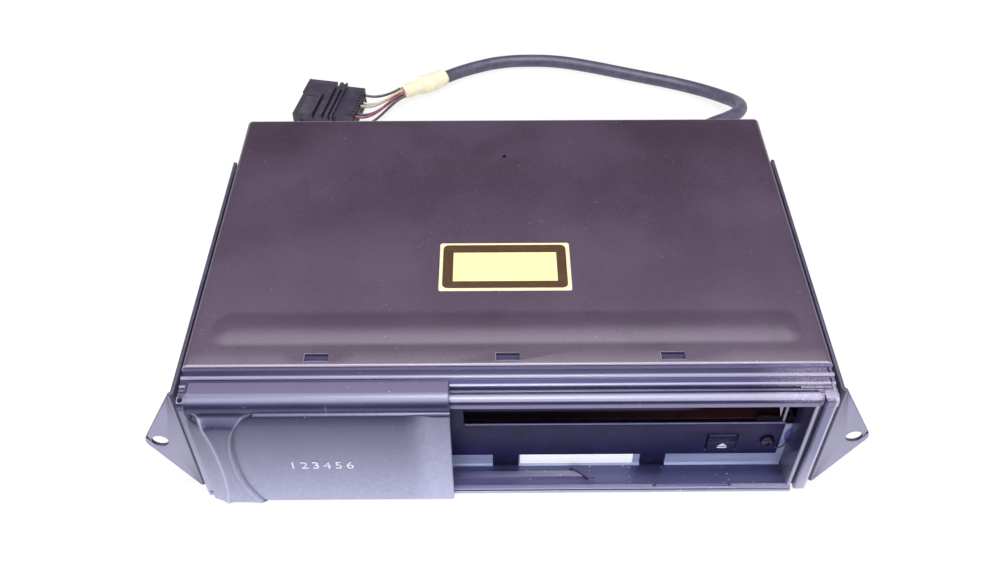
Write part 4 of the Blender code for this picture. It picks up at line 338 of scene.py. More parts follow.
def arc(centre, radius, start, end, steps=8):
    """Points on an arc between two angles in degrees."""
    turns = [math.radians(turn) for turn in spread(start, end, steps)]
    return [(centre[0] + radius * math.cos(turn), centre[1] + radius * math.sin(turn)) for turn in turns]


def eased(stations, at):
    """The value at a place of a smooth line through (place, value) stations that never overshoots them."""
    at = min(max(at, stations[0][0]), stations[-1][0])
    slopes = [(b[1] - a[1]) / (b[0] - a[0]) for a, b in zip(stations, stations[1:])]
    tangents = [slopes[0]]
    for before, after in zip(slopes, slopes[1:]):
        tangents.append(0 if before * after <= 0 else 2 * before * after / (before + after))
    tangents.append(slopes[-1])
    for index, (a, b) in enumerate(zip(stations, stations[1:])):
        if at <= b[0]:
            run = b[0] - a[0]
            t = (at - a[0]) / run
            start = (1 + 2 * t) * (1 - t) ** 2 * a[1] + t * (1 - t) ** 2 * run * tangents[index]
            return start + t * t * (3 - 2 * t) * b[1] + t * t * (t - 1) * run * tangents[index + 1]
    return stations[-1][1]


def spread(start, end, steps):
    """Evenly spaced values from a start to an end, both of them included."""
    return [start + (end - start) * step / steps for step in range(steps + 1)]


def within(value):
    """A value held between none and all."""
    return min(max(value, 0), 1)


def soft_band(away, width):
    """A soft band: all in its middle, and fading to none over its width."""
    return math.exp(-((away / width) ** 2))


# Finishes


def tint(code):
    """An sRGB hex colour as linear red, green, blue and alpha."""
    shares = [int(code[place : place + 2], 16) / 255 for place in (1, 3, 5)]
    return (*[s / 12.92 if s <= 0.04045 else ((s + 0.055) / 1.055) ** 2.4 for s in shares], 1.0)


# Settings that many nodes share. A Map Range takes its value at socket 0, what that runs from at 1 and 2
# and to at 3 and 4. A Mix of colours takes its share at 0 and its colours at 6 and 7
SMOOTH = {"interpolation_type": "SMOOTHSTEP"}
COLOURS = {"out": 2, "data_type": "RGBA"}
CLOUDY = {"Detail": 3.0, "Roughness": 0.6}
GRAINY = {"Detail": 2.0, "Roughness": 0.6}


def plug(tree, node, links):
    """Fills a node's sockets, each with what feeds it or with what it holds."""
    for socket, value in links.items():
        if isinstance(value, bpy.types.NodeSocket):
            tree.links.new(value, node.inputs[socket])
        else:
            node.inputs[socket].default_value = tint(value) if isinstance(value, str) else value


def add(tree, kind, links=None, out=0, **settings):
    """Adds one shader node and gives back one of its outputs. Settings are its own properties, links what
    its sockets hold or what feeds them."""
    node = tree.nodes.new(f"ShaderNode{kind}")
    for name, value in settings.items():
        setattr(node, name, value)
    plug(tree, node, links or {})
    return node.outputs[out]


def blank(name, roughness, metallic=0.0, ior=1.5, specular=0.5):
    """A new material with its shader and a place in millimetres for its patterns."""
    material = bpy.data.materials.new(name)
    material.use_nodes = True
    tree = material.node_tree
    shader = tree.nodes["Principled BSDF"]
    plug(tree, shader, {"Roughness": roughness, "Metallic": metallic, "Specular IOR Level": specular})
    if not metallic:
        plug(tree, shader, {"IOR": ior})
    place = add(tree, "TexCoord", out=3)
    scaled = add(tree, "Mapping", {"Vector": place, "Scale": (1000, 1000, 1000)})
    return material, tree, shader, scaled


def dust(tree, place, spacing, radius, share, shift=0.0):
    """Scattered dots: a share of the cells of a spacing in millimetres holds one of about a radius."""
    shifted = add(tree, "Mapping", {"Vector": place, "Location": (shift, shift, shift)})
    away = add(tree, "TexVoronoi", {"Vector": shifted, "Scale": 1 / spacing, "Randomness": 1.0})
    chance = add(tree, "SeparateColor", {"Color": away.node.outputs["Color"]})
    kept = add(tree, "Math", {0: chance, 1: share}, operation="LESS_THAN")
    size = {0: away, 1: radius / spacing * 1.2, 2: radius / spacing * 0.5, 4: kept}
    return add(tree, "MapRange", size)


def powder_coated_steel():
    """Steel sheet under a dark textured powder coat: a fine orange-peel grain that breaks the gloss, a tone
    paler towards the front, patchy tone, stray specks and a painted highlight along the rolled front edge."""
    material, tree, shader, place = blank("powder_coated_steel", 0.32, ior=1.5, specular=0.8)
    dark, mid, front, deep = "#3D2E3F", "#4A3A4D", "#584A5E", "#352937"
    # The real grain is near 0.25 mm; it is drawn at 0.6 mm so that it still shows from the camera
    grain = add(tree, "TexNoise", {"Vector": place, "Scale": 1 / 0.6, **CLOUDY})
    patches = add(tree, "TexNoise", {"Vector": place, "Scale": 1 / 55, "Detail": 3.0, "Roughness": 0.55})
    blotches = add(tree, "TexNoise", {"Vector": place, "Scale": 1 / 16, **CLOUDY})
    depth = add(tree, "SeparateXYZ", {0: place}, 1)
    share = add(tree, "MapRange", {0: patches, 1: 0.35, 2: 0.68}, **SMOOTH)
    colour = add(tree, "Mix", {0: share, 6: dark, 7: mid}, **COLOURS)
    share = add(tree, "MapRange", {0: depth, 1: pattern_y(174.7), 2: pattern_y(14.7), 4: 0.6}, **SMOOTH)
    colour = add(tree, "Mix", {0: share, 6: colour, 7: front}, **COLOURS)
    share = add(tree, "MapRange", {0: blotches, 1: 0.58, 2: 0.8, 4: 0.4}, **SMOOTH)
    colour = add(tree, "Mix", {0: share, 6: colour, 7: deep}, **COLOURS)
    share = add(tree, "MapRange", {0: grain, 1: 0.5, 2: 0.7, 4: 0.25}, **SMOOTH)
    colour = add(tree, "Mix", {0: share, 6: colour, 7: "#7D7184"}, **COLOURS)
    # Painted highlight: a pale line along the rolled front edge
    share = add(tree, "MapRange", {0: depth, 1: pattern_y(17.7), 2: pattern_y(16.9), 4: 0.85}, **SMOOTH)
    colour = add(tree, "Mix", {0: share, 6: colour, 7: "#B3A8BE"}, **COLOURS)
    fine = add(tree, "Math", {0: dust(tree, place, 5.0, 0.24, 0.5), 1: 0.5}, operation="MULTIPLY")
    coarse = add(tree, "Math", {0: dust(tree, place, 21.0, 0.45, 0.5, 3.0), 1: 0.85}, operation="MULTIPLY")
    share = add(tree, "Math", {0: fine, 1: coarse}, operation="MAXIMUM")
    colour = add(tree, "Mix", {0: share, 6: colour, 7: "#CFC6D6"}, **COLOURS)
    rough = add(tree, "MapRange", {0: patches, 1: 0.3, 2: 0.7, 3: 0.28, 4: 0.36})
    bump = add(tree, "Bump", {"Height": grain, "Distance": 0.000015, "Strength": 0.35})
    plug(tree, shader, {"Base Color": colour, "Roughness": rough, "Normal": bump})
    return material


def moulded_abs(name, dark, mid, film, gathered=0.0, front_light=None, gloss=1.0):
    """Injection-moulded ABS with a spark-eroded satin grain: a cool, clear sheen, a film of dust on what
    faces up, hair scratches and lint. Painted light: forward faces paler where asked, as lit from the
    front, paler towards the foot, as lit from the table, and at the door's right end; painted highlights on
    edges and rounds; painted shade in corners and hollows, next to the cover and at the back of the floor."""
    material, tree, shader, place = blank(name, 0.3, ior=1.53, specular=gloss)
    plug(tree, shader, {"Specular Tint": "#DDE0FF"})
    # The eroded grain is near 0.08 mm; it is drawn at 0.5 mm so that it shows at all
    grain = add(tree, "TexNoise", {"Vector": place, "Scale": 2.0, **GRAINY})
    cloud = add(tree, "TexNoise", {"Vector": place, "Scale": 1 / 24, **CLOUDY})
    facing = add(tree, "SeparateXYZ", {0: add(tree, "NewGeometry", out=1)}).node.outputs
    here = add(tree, "SeparateXYZ", {0: place}).node.outputs
    share = add(tree, "MapRange", {0: cloud, 1: 0.3, 2: 0.7}, **SMOOTH)
    colour = add(tree, "Mix", {0: share, 6: dark, 7: mid}, **COLOURS)
    if front_light:
        # Painted light: flat faces that look forwards are paler, as lit from the front, never the rounds
        share = add(tree, "MapRange", {0: facing[1], 1: -0.96, 2: -0.995, 4: 0.85})
        colour = add(tree, "Mix", {0: share, 6: colour, 7: front_light}, **COLOURS)
    # Painted light, paler towards the foot as lit from the table in front, and paler at the door's right
    # end; spread unevenly
    foot_light_and_pale_end = add(tree, "Attribute", out=2, attribute_name="foot_light_and_pale_end")
    long = add(tree, "Mapping", {"Vector": place, "Scale": (0.45, 0.45, 0.3)})
    uneven = add(tree, "TexNoise", {"Vector": long, "Scale": 1.0, "Detail": 4.0, "Roughness": 0.65})
    uneven = add(tree, "MapRange", {0: uneven, 1: 0.3, 2: 0.7, 3: 0.88, 4: 1.08})
    foot_light_and_pale_end = add(tree, "Math", {0: foot_light_and_pale_end, 1: uneven}, operation="MULTIPLY", use_clamp=True)
    colour = add(tree, "Mix", {0: foot_light_and_pale_end, 6: colour, 7: "#AFB0CE"}, **COLOURS)
    # A film of dust on what lies flat; painted shade darkens it beside the rib and next to the cover
    lying = add(tree, "MapRange", {0: facing[2], 1: 0.95, 2: 0.998, 4: 0.85}, **SMOOTH)
    behind = add(tree, "MapRange", {0: here[1], 1: pattern_y(13.1), 2: pattern_y(15.5), 4: 0.75})
    film = add(tree, "Mix", {0: behind, 6: film, 7: "#433E58"}, **COLOURS)
    band = add(tree, "MapRange", {0: here[1], 1: pattern_y(8.9), 2: pattern_y(9.2), 4: 0.9})
    ahead = add(tree, "MapRange", {0: here[1], 1: pattern_y(11.9), 2: pattern_y(11.4)})
    band = add(tree, "Math", {0: band, 1: ahead}, operation="MULTIPLY")
    film = add(tree, "Mix", {0: band, 6: film, 7: "#4B4775"}, **COLOURS)
    # On the opening's floor it is pale in front, with painted shade towards the back, darker to the right
    inside = add(tree, "MapRange", {0: here[1], 1: pattern_y(10.3), 2: pattern_y(2.7)}, **SMOOTH)
    rightwards = add(tree, "MapRange", {0: here[0], 1: 10.0, 2: 80.0, 4: 0.7})
    rear = add(tree, "Mix", {0: rightwards, 6: "#4E4C7C", 7: "#2F2D55"}, **COLOURS)
    floor = add(tree, "Mix", {0: inside, 6: rear, 7: "#7A77A8"}, **COLOURS)
    deep = add(tree, "MapRange", {0: here[2], 1: 30.0, 2: 8.0})
    film = add(tree, "Mix", {0: deep, 6: film, 7: floor}, **COLOURS)
    colour = add(tree, "Mix", {0: lying, 6: colour, 7: film}, **COLOURS)
    if gathered:
        # Lint that gathers at the right end, where no leaf ever slides
        near = add(tree, "MapRange", {0: here[0], 1: 92.0, 2: 116.0, 4: gathered}, **SMOOTH)
        above = add(tree, "MapRange", {0: here[2], 1: 54.0, 2: 58.0})
        near = add(tree, "Math", {0: near, 1: above}, operation="MULTIPLY")
        flock = add(tree, "TexNoise", {"Vector": place, "Scale": 1.1, **CLOUDY})
        flock = add(tree, "MapRange", {0: flock, 1: 0.3, 2: 0.75})
        reach = add(tree, "MapRange", {0: facing[2], 1: 0.1, 2: 0.7})
        share = add(tree, "Math", {0: near, 1: flock}, operation="MULTIPLY")
        share = add(tree, "Math", {0: share, 1: reach}, operation="MULTIPLY")
        colour = add(tree, "Mix", {0: share, 6: colour, 7: "#ADA2B8"}, **COLOURS)
    # Painted shade in corners and hollows and painted highlights on edges, as stored on the piece
    painted_shade = add(tree, "Attribute", out=2, attribute_name="painted_shade")
    colour = add(tree, "Mix", {0: painted_shade, 6: colour, 7: "#1F1A3A"}, **COLOURS)
    painted_highlight = add(tree, "Attribute", out=2, attribute_name="painted_highlight")
    colour = add(tree, "Mix", {0: painted_highlight, 6: colour, 7: "#CFCDE6"}, **COLOURS)
    # Hair scratches up the face, then lint, which is thickest on the floor and on what faces up
    long = add(tree, "Mapping", {"Vector": place, "Rotation": (0, 0.12, 0), "Scale": (2.6, 0.4, 0.05)})
    hair = add(tree, "TexNoise", {"Vector": long, "Scale": 1.0, "Detail": 1.0, "Roughness": 0.4})
    share = add(tree, "MapRange", {0: hair, 1: 0.75, 2: 0.79, 4: 0.22})
    colour = add(tree, "Mix", {0: share, 6: colour, 7: "#C4C2DC"}, **COLOURS)
    share = add(tree, "Math", {0: dust(tree, place, 4.2, 0.24, 0.45), 1: 0.65}, operation="MULTIPLY")
    lint = add(tree, "Math", {0: dust(tree, place, 2.1, 0.28, 0.45, 7.0), 1: deep}, operation="MULTIPLY")
    share = add(tree, "Math", {0: share, 1: lint}, operation="MAXIMUM")
    reach = add(tree, "MapRange", {0: facing[2], 1: -0.2, 2: 0.5, 3: 0.25})
    share = add(tree, "Math", {0: share, 1: reach}, operation="MULTIPLY")
    colour = add(tree, "Mix", {0: share, 6: colour, 7: "#E4E2F0"}, **COLOURS)
    rough = add(tree, "MapRange", {0: cloud, 1: 0.3, 2: 0.7, 3: 0.285, 4: 0.345})
    bump = add(tree, "Bump", {"Height": grain, "Distance": 0.000012, "Strength": 0.35})
    plug(tree, shader, {"Base Color": colour, "Roughness": rough, "Normal": bump})
    return material


def dusty_abs():
    """Matt ABS deep inside the opening, where nobody wipes: nearly black, with lint and grey dust that
    lies thickest on what faces up, which also makes a painted highlight on the panel's rounded top edge."""
    material, tree, shader, place = blank("dusty_matt_abs", 0.42, ior=1.53, specular=0.24)
    grain = add(tree, "TexNoise", {"Vector": place, "Scale": 1.6, "Detail": 3.0, "Roughness": 0.65})
    cloud = add(tree, "TexNoise", {"Vector": place, "Scale": 1 / 9, "Detail": 4.0, "Roughness": 0.65})
    up = add(tree, "SeparateXYZ", {0: add(tree, "NewGeometry", out=1)}, 2)
    # Paler on what faces up: dust, and a painted highlight on the panel's top edge
    lying = add(tree, "MapRange", {0: up, 1: 0.5, 2: 0.95, 4: 0.8}, **SMOOTH)
    share = add(tree, "MapRange", {0: cloud, 1: 0.35, 2: 0.75}, **SMOOTH)
    colour = add(tree, "Mix", {0: share, 6: "#151138", 7: "#1D1948"}, **COLOURS)
    colour = add(tree, "Mix", {0: lying, 6: colour, 7: "#ABA6D6"}, **COLOURS)
    share = add(tree, "MapRange", {0: grain, 1: 0.55, 2: 0.75, 4: 0.08}, **SMOOTH)
    colour = add(tree, "Mix", {0: share, 6: colour, 7: "#6E6A8E"}, **COLOURS)
    lint = dust(tree, place, 2.6, 0.16, 0.2)
    lint = add(tree, "Math", {0: lint, 1: dust(tree, place, 8.0, 0.3, 0.3, 5.0)}, operation="MAXIMUM")
    lint = add(tree, "Math", {0: lint, 1: 0.6}, operation="MULTIPLY")
    colour = add(tree, "Mix", {0: lint, 6: colour, 7: "#C9C6DC"}, **COLOURS)
    bump = add(tree, "Bump", {"Height": grain, "Distance": 0.00003, "Strength": 0.4})
    plug(tree, shader, {"Base Color": colour, "Normal": bump})
    return material


def zinc_plate(name, light, dark, metallic=0.5):
    """Bright zinc plate gone dull: a bluish satin metal with rolled streaks and pale bloom."""
    material, tree, shader, place = blank(name, 0.42, metallic=metallic)
    long = add(tree, "Mapping", {"Vector": place, "Scale": (0.04, 0.04, 0.5)})
    streak = add(tree, "TexNoise", {"Vector": long, "Scale": 1.0, **CLOUDY})
    bloom = add(tree, "TexNoise", {"Vector": place, "Scale": 0.7, "Detail": 3.0, "Roughness": 0.65})
    share = add(tree, "MapRange", {0: streak, 1: 0.3, 2: 0.7}, **SMOOTH)
    colour = add(tree, "Mix", {0: share, 6: dark, 7: light}, **COLOURS)
    share = add(tree, "MapRange", {0: bloom, 1: 0.62, 2: 0.75, 4: 0.4}, **SMOOTH)
    colour = add(tree, "Mix", {0: share, 6: colour, 7: "#C3C8DE"}, **COLOURS)
    rough = add(tree, "MapRange", {0: streak, 1: 0.3, 2: 0.7, 3: 0.34, 4: 0.5})
    plug(tree, shader, {"Base Color": colour, "Roughness": rough})
    return material


def cage_steel_with_painted_sheen():
    """Black-lacquered sheet inside the magazine bay: brownish black, with a painted grey sheen behind the
    left part of the slot, a painted reflection where the light from the opening reaches it."""
    material, tree, shader, place = blank("lacquered_cage_steel_painted_sheen", 0.5, ior=1.5, specular=0.22)
    cloud = add(tree, "TexNoise", {"Vector": place, "Scale": 1 / 12, **CLOUDY})
    here = add(tree, "SeparateXYZ", {0: place}).node.outputs
    inwards = add(tree, "MapRange", {0: here[1], 1: pattern_y(17.8), 2: pattern_y(20.3)}, **SMOOTH)
    leftwards = add(tree, "MapRange", {0: here[0], 1: 84.0, 2: 70.0}, **SMOOTH)
    share = add(tree, "Math", {0: inwards, 1: leftwards}, operation="MULTIPLY")
    brown = add(tree, "MapRange", {0: here[0], 1: 20.0, 2: 90.0})
    brown = add(tree, "Math", {0: brown, 1: cloud}, operation="MULTIPLY")
    colour = add(tree, "Mix", {0: brown, 6: "#120B12", 7: "#4A2A30"}, **COLOURS)
    # Painted reflection: a grey sheen behind the left part of the slot
    colour = add(tree, "Mix", {0: share, 6: colour, 7: "#7C76A0"}, **COLOURS)
    plug(tree, shader, {"Base Color": colour})
    return material


def coated_bracket_steel():
    """Stamped steel under black dip coat, with pale grain and dust. Its flat faces that look forwards are
    painted pale grey: painted light, as lit from the front.
    """
    material, tree, shader, place = blank("dip_coated_steel", 0.42, ior=1.5, specular=0.6)
    cloud = add(tree, "TexNoise", {"Vector": place, "Scale": 1 / 14, "Detail": 3.0, "Roughness": 0.55})
    grain = add(tree, "TexNoise", {"Vector": place, "Scale": 1.6, **GRAINY})
    ahead = add(tree, "SeparateXYZ", {0: add(tree, "NewGeometry", out=1)}, 1)
    share = add(tree, "MapRange", {0: cloud, 1: 0.3, 2: 0.7}, **SMOOTH)
    colour = add(tree, "Mix", {0: share, 6: "#3E3950", 7: "#4C4760"}, **COLOURS)
    # Painted light: flat faces that look forwards are paler, as lit from the front
    front_light = add(tree, "MapRange", {0: ahead, 1: -0.93, 2: -0.99, 4: 0.9}, **SMOOTH)
    colour = add(tree, "Mix", {0: front_light, 6: colour, 7: "#9896B2"}, **COLOURS)
    share = add(tree, "MapRange", {0: grain, 1: 0.5, 2: 0.72, 4: 0.2}, **SMOOTH)
    colour = add(tree, "Mix", {0: share, 6: colour, 7: "#9A96B0"}, **COLOURS)
    colour = add(tree, "Mix", {0: dust(tree, place, 6.0, 0.3, 0.3), 6: colour, 7: "#C9C6DA"}, **COLOURS)
    bump = add(tree, "Bump", {"Height": grain, "Distance": 0.00002, "Strength": 0.4})
    plug(tree, shader, {"Base Color": colour, "Normal": bump})
    return material


def printed_film(name, light, dark, roughness=0.35, painted_glow=0.0):
    """Polyester label film: smooth, a little glossy, with faint dirt smeared over it. Where asked, it glows
    a
    little: painted light that lifts a white above what the lamps give it."""
    material, tree, shader, place = blank(name, roughness, ior=1.58)
    # Painted light: a faint glow, where asked
    plug(tree, shader, {"Emission Color": "#E6F0FF", "Emission Strength": painted_glow})
    rub = add(tree, "TexNoise", {"Vector": place, "Scale": 0.25, **CLOUDY})
    share = add(tree, "MapRange", {0: rub, 1: 0.45, 2: 0.75, 4: 0.7}, **SMOOTH)
    colour = add(tree, "Mix", {0: share, 6: light, 7: dark}, **COLOURS)
    plug(tree, shader, {"Base Color": colour})
    return material


def soft_plastic(name, dark, light, roughness=0.45, specular=0.6):
    """Extruded or moulded black plastic, matt and slightly waxy, with long scuffs."""
    material, tree, shader, place = blank(name, roughness, ior=1.53, specular=specular)
    scuff = add(tree, "TexNoise", {"Vector": place, "Scale": 0.2, **CLOUDY})
    grain = add(tree, "TexNoise", {"Vector": place, "Scale": 2.0, **GRAINY})
    share = add(tree, "MapRange", {0: scuff, 1: 0.35, 2: 0.7}, **SMOOTH)
    colour = add(tree, "Mix", {0: share, 6: dark, 7: light}, **COLOURS)
    bump = add(tree, "Bump", {"Height": grain, "Distance": 0.00002, "Strength": 0.4})
    plug(tree, shader, {"Base Color": colour, "Normal": bump})
    return material


def crepe_tape():
    """Creped paper tape: cream, dry and matt, with fine cross wrinkles and darker laps."""
    material, tree, shader, place = blank("creped_paper_tape", 0.8, ior=1.45, specular=0.3)
    turned = add(tree, "Mapping", {"Vector": place, "Rotation": (0, 0, 0.6), "Scale": (1.6, 0.5, 0.5)})
    crepe = add(tree, "TexNoise", {"Vector": turned, "Scale": 1.0, "Detail": 2.0, "Roughness": 0.5})
    stain = add(tree, "TexNoise", {"Vector": place, "Scale": 0.2, **CLOUDY})
    share = add(tree, "MapRange", {0: stain, 1: 0.35, 2: 0.7}, **SMOOTH)
    colour = add(tree, "Mix", {0: share, 6: "#FFF3CC", 7: "#FFFBE6"}, **COLOURS)
    share = add(tree, "MapRange", {0: crepe, 1: 0.6, 2: 0.8, 4: 0.5}, **SMOOTH)
    colour = add(tree, "Mix", {0: share, 6: colour, 7: "#E0CE9C"}, **COLOURS)
    bump = add(tree, "Bump", {"Height": crepe, "Distance": 0.00012, "Strength": 0.7})
    plug(tree, shader, {"Base Color": colour, "Normal": bump})
    return material


def bright_metal(name, light="#B9B8C6", dark="#8D8C9C", roughness=0.3):
    """Turned or drawn steel with a bright finish and fine lathe lines."""
    material, tree, shader, place = blank(name, roughness, metallic=1.0)
    long = add(tree, "Mapping", {"Vector": place, "Scale": (2.5, 2.5, 0.4)})
    lines = add(tree, "TexNoise", {"Vector": long, "Scale": 1.0, "Detail": 2.0, "Roughness": 0.5})
    share = add(tree, "MapRange", {0: lines, 1: 0.3, 2: 0.7}, **SMOOTH)
    colour = add(tree, "Mix", {0: share, 6: dark, 7: light}, **COLOURS)
    rough = add(tree, "MapRange", {0: lines, 1: 0.3, 2: 0.7, 3: roughness, 4: roughness + 0.12})
    plug(tree, shader, {"Base Color": colour, "Roughness": rough})
    return material


COAT = powder_coated_steel()
CAGE_STEEL = cage_steel_with_painted_sheen()
LOOP_FILM = soft_plastic("violet_polyimide", "#34307A", "#45419A", 0.35)
# Painted light: the bezel's forward faces are paler, as lit from the front
BEZEL_ABS = moulded_abs("grained_abs", "#282345", "#332E51", "#6C657C", gathered=0.9, front_light="#7A7698")
DOOR_ABS = moulded_abs("grained_abs_door", "#2C2749", "#373256", "#675F7A")
BUTTON_ABS = moulded_abs("grained_abs_button", "#15112F", "#1D193E", "#7470A0", gloss=0.35)
FELT = soft_plastic("black_felt", "#0D0A14", "#14111E", 0.9, 0.1)
# Pale rings round the snap windows: painted highlight on their edges
WINDOW_HIGHLIGHT = printed_film("painted_window_highlight", "#8F889E", "#544D66", 0.5)
DUSTY = dusty_abs()
ZINC = zinc_plate("zinc_plated_steel", "#B3BBE2", "#9DA6CE", 0.35)
SHADED_ZINC = zinc_plate("dull_zinc_in_shade", "#4A4760", "#3A3850", 0.3)
BRACKET_STEEL = coated_bracket_steel()
LABEL_WHITE = printed_film("white_polyester_film", "#FFFFFF", "#F4F8FC", painted_glow=0.2)
LABEL_YELLOW = printed_film("yellow_polyester_film", "#F8F2AC", "#F0E89E")
LABEL_EDGE = printed_film("yellow_film_edge", "#F4E7BC", "#E6D6A4")
LABEL_BLACK = printed_film("brown_screen_print", "#4A3220", "#5A4030")
PRINT_PALE = printed_film("pale_pad_print", "#D9D9E8", "#B9B9CC", 0.5)
SHEATH = soft_plastic("pvc_sheath", "#464259", "#57536D")
NYLON = soft_plastic("black_nylon", "#2E283A", "#3F374C", 0.5)
RUBBER = soft_plastic("moulded_rubber", "#26242C", "#35323C", 0.6)
TAPE = crepe_tape()
STEEL = bright_metal("bright_steel_rod")
SCREW_STEEL = bright_metal("blackened_screw_steel", "#5E5A70", "#34303F", 0.35)


# Camera, light and table

camera_data = bpy.data.cameras.new("camera")
camera_data.lens = 35.896
camera_data.sensor_width = 36
camera = bpy.data.objects.new("camera", camera_data)
camera.location = world(-5.0, -229.9, 367.3)
camera_dip, camera_turn = 46.04, -0.45
camera.rotation_euler = (math.radians(90 - camera_dip), 0, math.radians(camera_turn))
bpy.context.collection.objects.link(camera)
bpy.context.scene.camera = camera
bpy.context.scene.view_settings.view_transform = "Standard"


def lamp(name, place, aim, size, power, shines=True):
    """A rectangular soft box that faces a point; one that doesn't shine lights without being mirrored."""
    data = bpy.data.lights.new(name, "AREA")
    data.shape = "RECTANGLE"
    data.size, data.size_y = size
    data.energy = power
    made = bpy.data.objects.new(name, data)
    made.location = place
    made.rotation_euler = (Vector(aim) - Vector(place)).to_track_quat("-Z", "Y").to_euler()
    made.visible_glossy = shines
    bpy.context.collection.objects.link(made)


front_middle = (0, -0.05, 0.03)
lamp("overhead_box", (0.0, -0.08, 1.12), front_middle, (1.3, 1.35), 8.2)
lamp("key_strip", (0.02, -0.12, 1.05), front_middle, (0.42, 0.3), 5.6)
lamp("front_fill", (0.0, -1.05, 0.5), front_middle, (1.2, 0.4), 9.0, shines=False)
lamp("left_fill", (-1.3, -0.2, 0.7), (0, 0, 0.03), (0.8, 0.8), 1.4)
lamp("right_fill", (1.3, -0.2, 0.7), (0, 0, 0.03), (0.8, 0.8), 1.4)

studio = bpy.data.worlds.new("studio")
bpy.context.scene.world = studio
studio.use_nodes = True
sky = studio.node_tree
room = sky.nodes["Background"]
plug(sky, room, {"Color": "#E9E8F4", "Strength": 0.2})
ray = add(sky, "LightPath").node.outputs
seen = {0: ray["Is Camera Ray"], 1: ray["Is Transmission Ray"]}
seen = add(sky, "Math", seen, operation="MAXIMUM")
seen = add(sky, "Math", {0: seen, 1: ray["Is Glossy Ray"]}, operation="MAXIMUM")
backdrop = add(sky, "Background", {"Color": (1, 1, 1, 1), "Strength": 1.0})
chosen = add(sky, "MixShader", {0: seen, 1: room.outputs[0], 2: backdrop})
plug(sky, sky.nodes["World Output"], {"Surface": chosen})


def white_paper():
    """Seamless white paper: matt, and shown at plain white apart from the object's soft shadow."""
    material = bpy.data.materials.new("seamless_white_paper")
    material.use_nodes = True
    tree = material.node_tree
    shader = tree.nodes["Principled BSDF"]
    plug(tree, shader, {"Base Color": (0.93, 0.93, 0.94, 1), "Roughness": 0.9, "Specular IOR Level": 0.1})
    ray = add(tree, "LightPath").node.outputs
    glow = add(tree, "Emission", {"Color": (1, 1, 1, 1), "Strength": 1.02})
    share = add(tree, "Math", {0: ray["Is Camera Ray"], 1: ray["Is Glossy Ray"]}, operation="MAXIMUM")
    share = add(tree, "Math", {0: share, 1: 0.85}, operation="MULTIPLY")
    both = add(tree, "MixShader", {0: share, 1: shader.outputs[0], 2: glow})
    plug(tree, tree.nodes["Material Output"], {"Surface": both})
    return material


def black_velvet():
    """The unlit room on the camera's side: cloth so dark that it only takes light away."""
    material, tree, shader, _ = blank("black_velvet", 0.9, specular=0.1)
    plug(tree, shader, {"Base Color": "#18161F"})
    return material


pick()
bpy.ops.mesh.primitive_grid_add(x_subdivisions=4, y_subdivisions=4, size=1, location=(0, 1.71, -0.0002))
bpy.context.active_object.scale = (6, 3.8, 1)
table = fresh("table")
table.data.materials.append(white_paper())

pick()
bpy.ops.mesh.primitive_plane_add(size=1, location=(0, -0.95, -0.0006))
bpy.context.active_object.scale = (5, 1.3, 1)
curtain = fresh("dark_room")
choose(curtain, "EDGE", lambda a, b: a.y < -1.5 and b.y < -1.5)
bpy.ops.mesh.extrude_edges_move(TRANSFORM_OT_translate={"value": (0, 0, 0.95)})
bpy.ops.object.mode_set(mode="OBJECT")
curtain.data.materials.append(black_velvet())
curtain.visible_camera = False

pick()
bpy.ops.mesh.primitive_plane_add(size=1, location=(0, 1.7, 1.5), rotation=(QUARTER, 0, 0))
bpy.context.active_object.scale = (5, 2.0, 1)
flag = fresh("rear_flag")
flag.data.materials.append(black_velvet())
flag.visible_camera = False


# Pigtail: grommet, cable, tape, cores and connector


def make_grommet():
    """A push-in flange and a boot that tapers over the sheath, with flex grooves."""
    bore, boot_end, lip = 4.05, 19.4, 0.4
    profile = [(bore, 0.3), (bore, boot_end), *arc((bore + lip, boot_end), lip, 180, 0, 6)]
    for place in (16.6, 13.6, 10.6, 7.6):
        outer = 4.85 + (19 - place) * 0.115
        deep = outer - 0.65
        profile += [(outer - 0.1, place + 0.7), (deep, place + 0.45)]
        profile += [(deep, place - 0.35), (outer, place - 0.6)]
    profile += [(6.3, 3.3), (7.3, 2.3), (7.8, 2.1), (7.8, 0.5), (7.6, 0.3)]
    boot = spun("cable_grommet_boot", profile, CABLE_HOLE, 1)
    return settle(boot, "case", "soft_rubber", RUBBER, "cable_grommet")


def make_cable():
    """The sheathed cable: out of the grommet, round and down to the table, and along it to the tape. It
    stays a live curve, so its route is in the frame's metres from the start."""
    route = [world(*place) for place in CABLE_ROUTE]
    sheath = string("cable_sheath", route, SHEATH_RADIUS / 1000, roundness=6, steps=10)
    sheath.data.materials.append(SHEATH)
    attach(sheath, "case")
    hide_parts("cable")
    return sheath


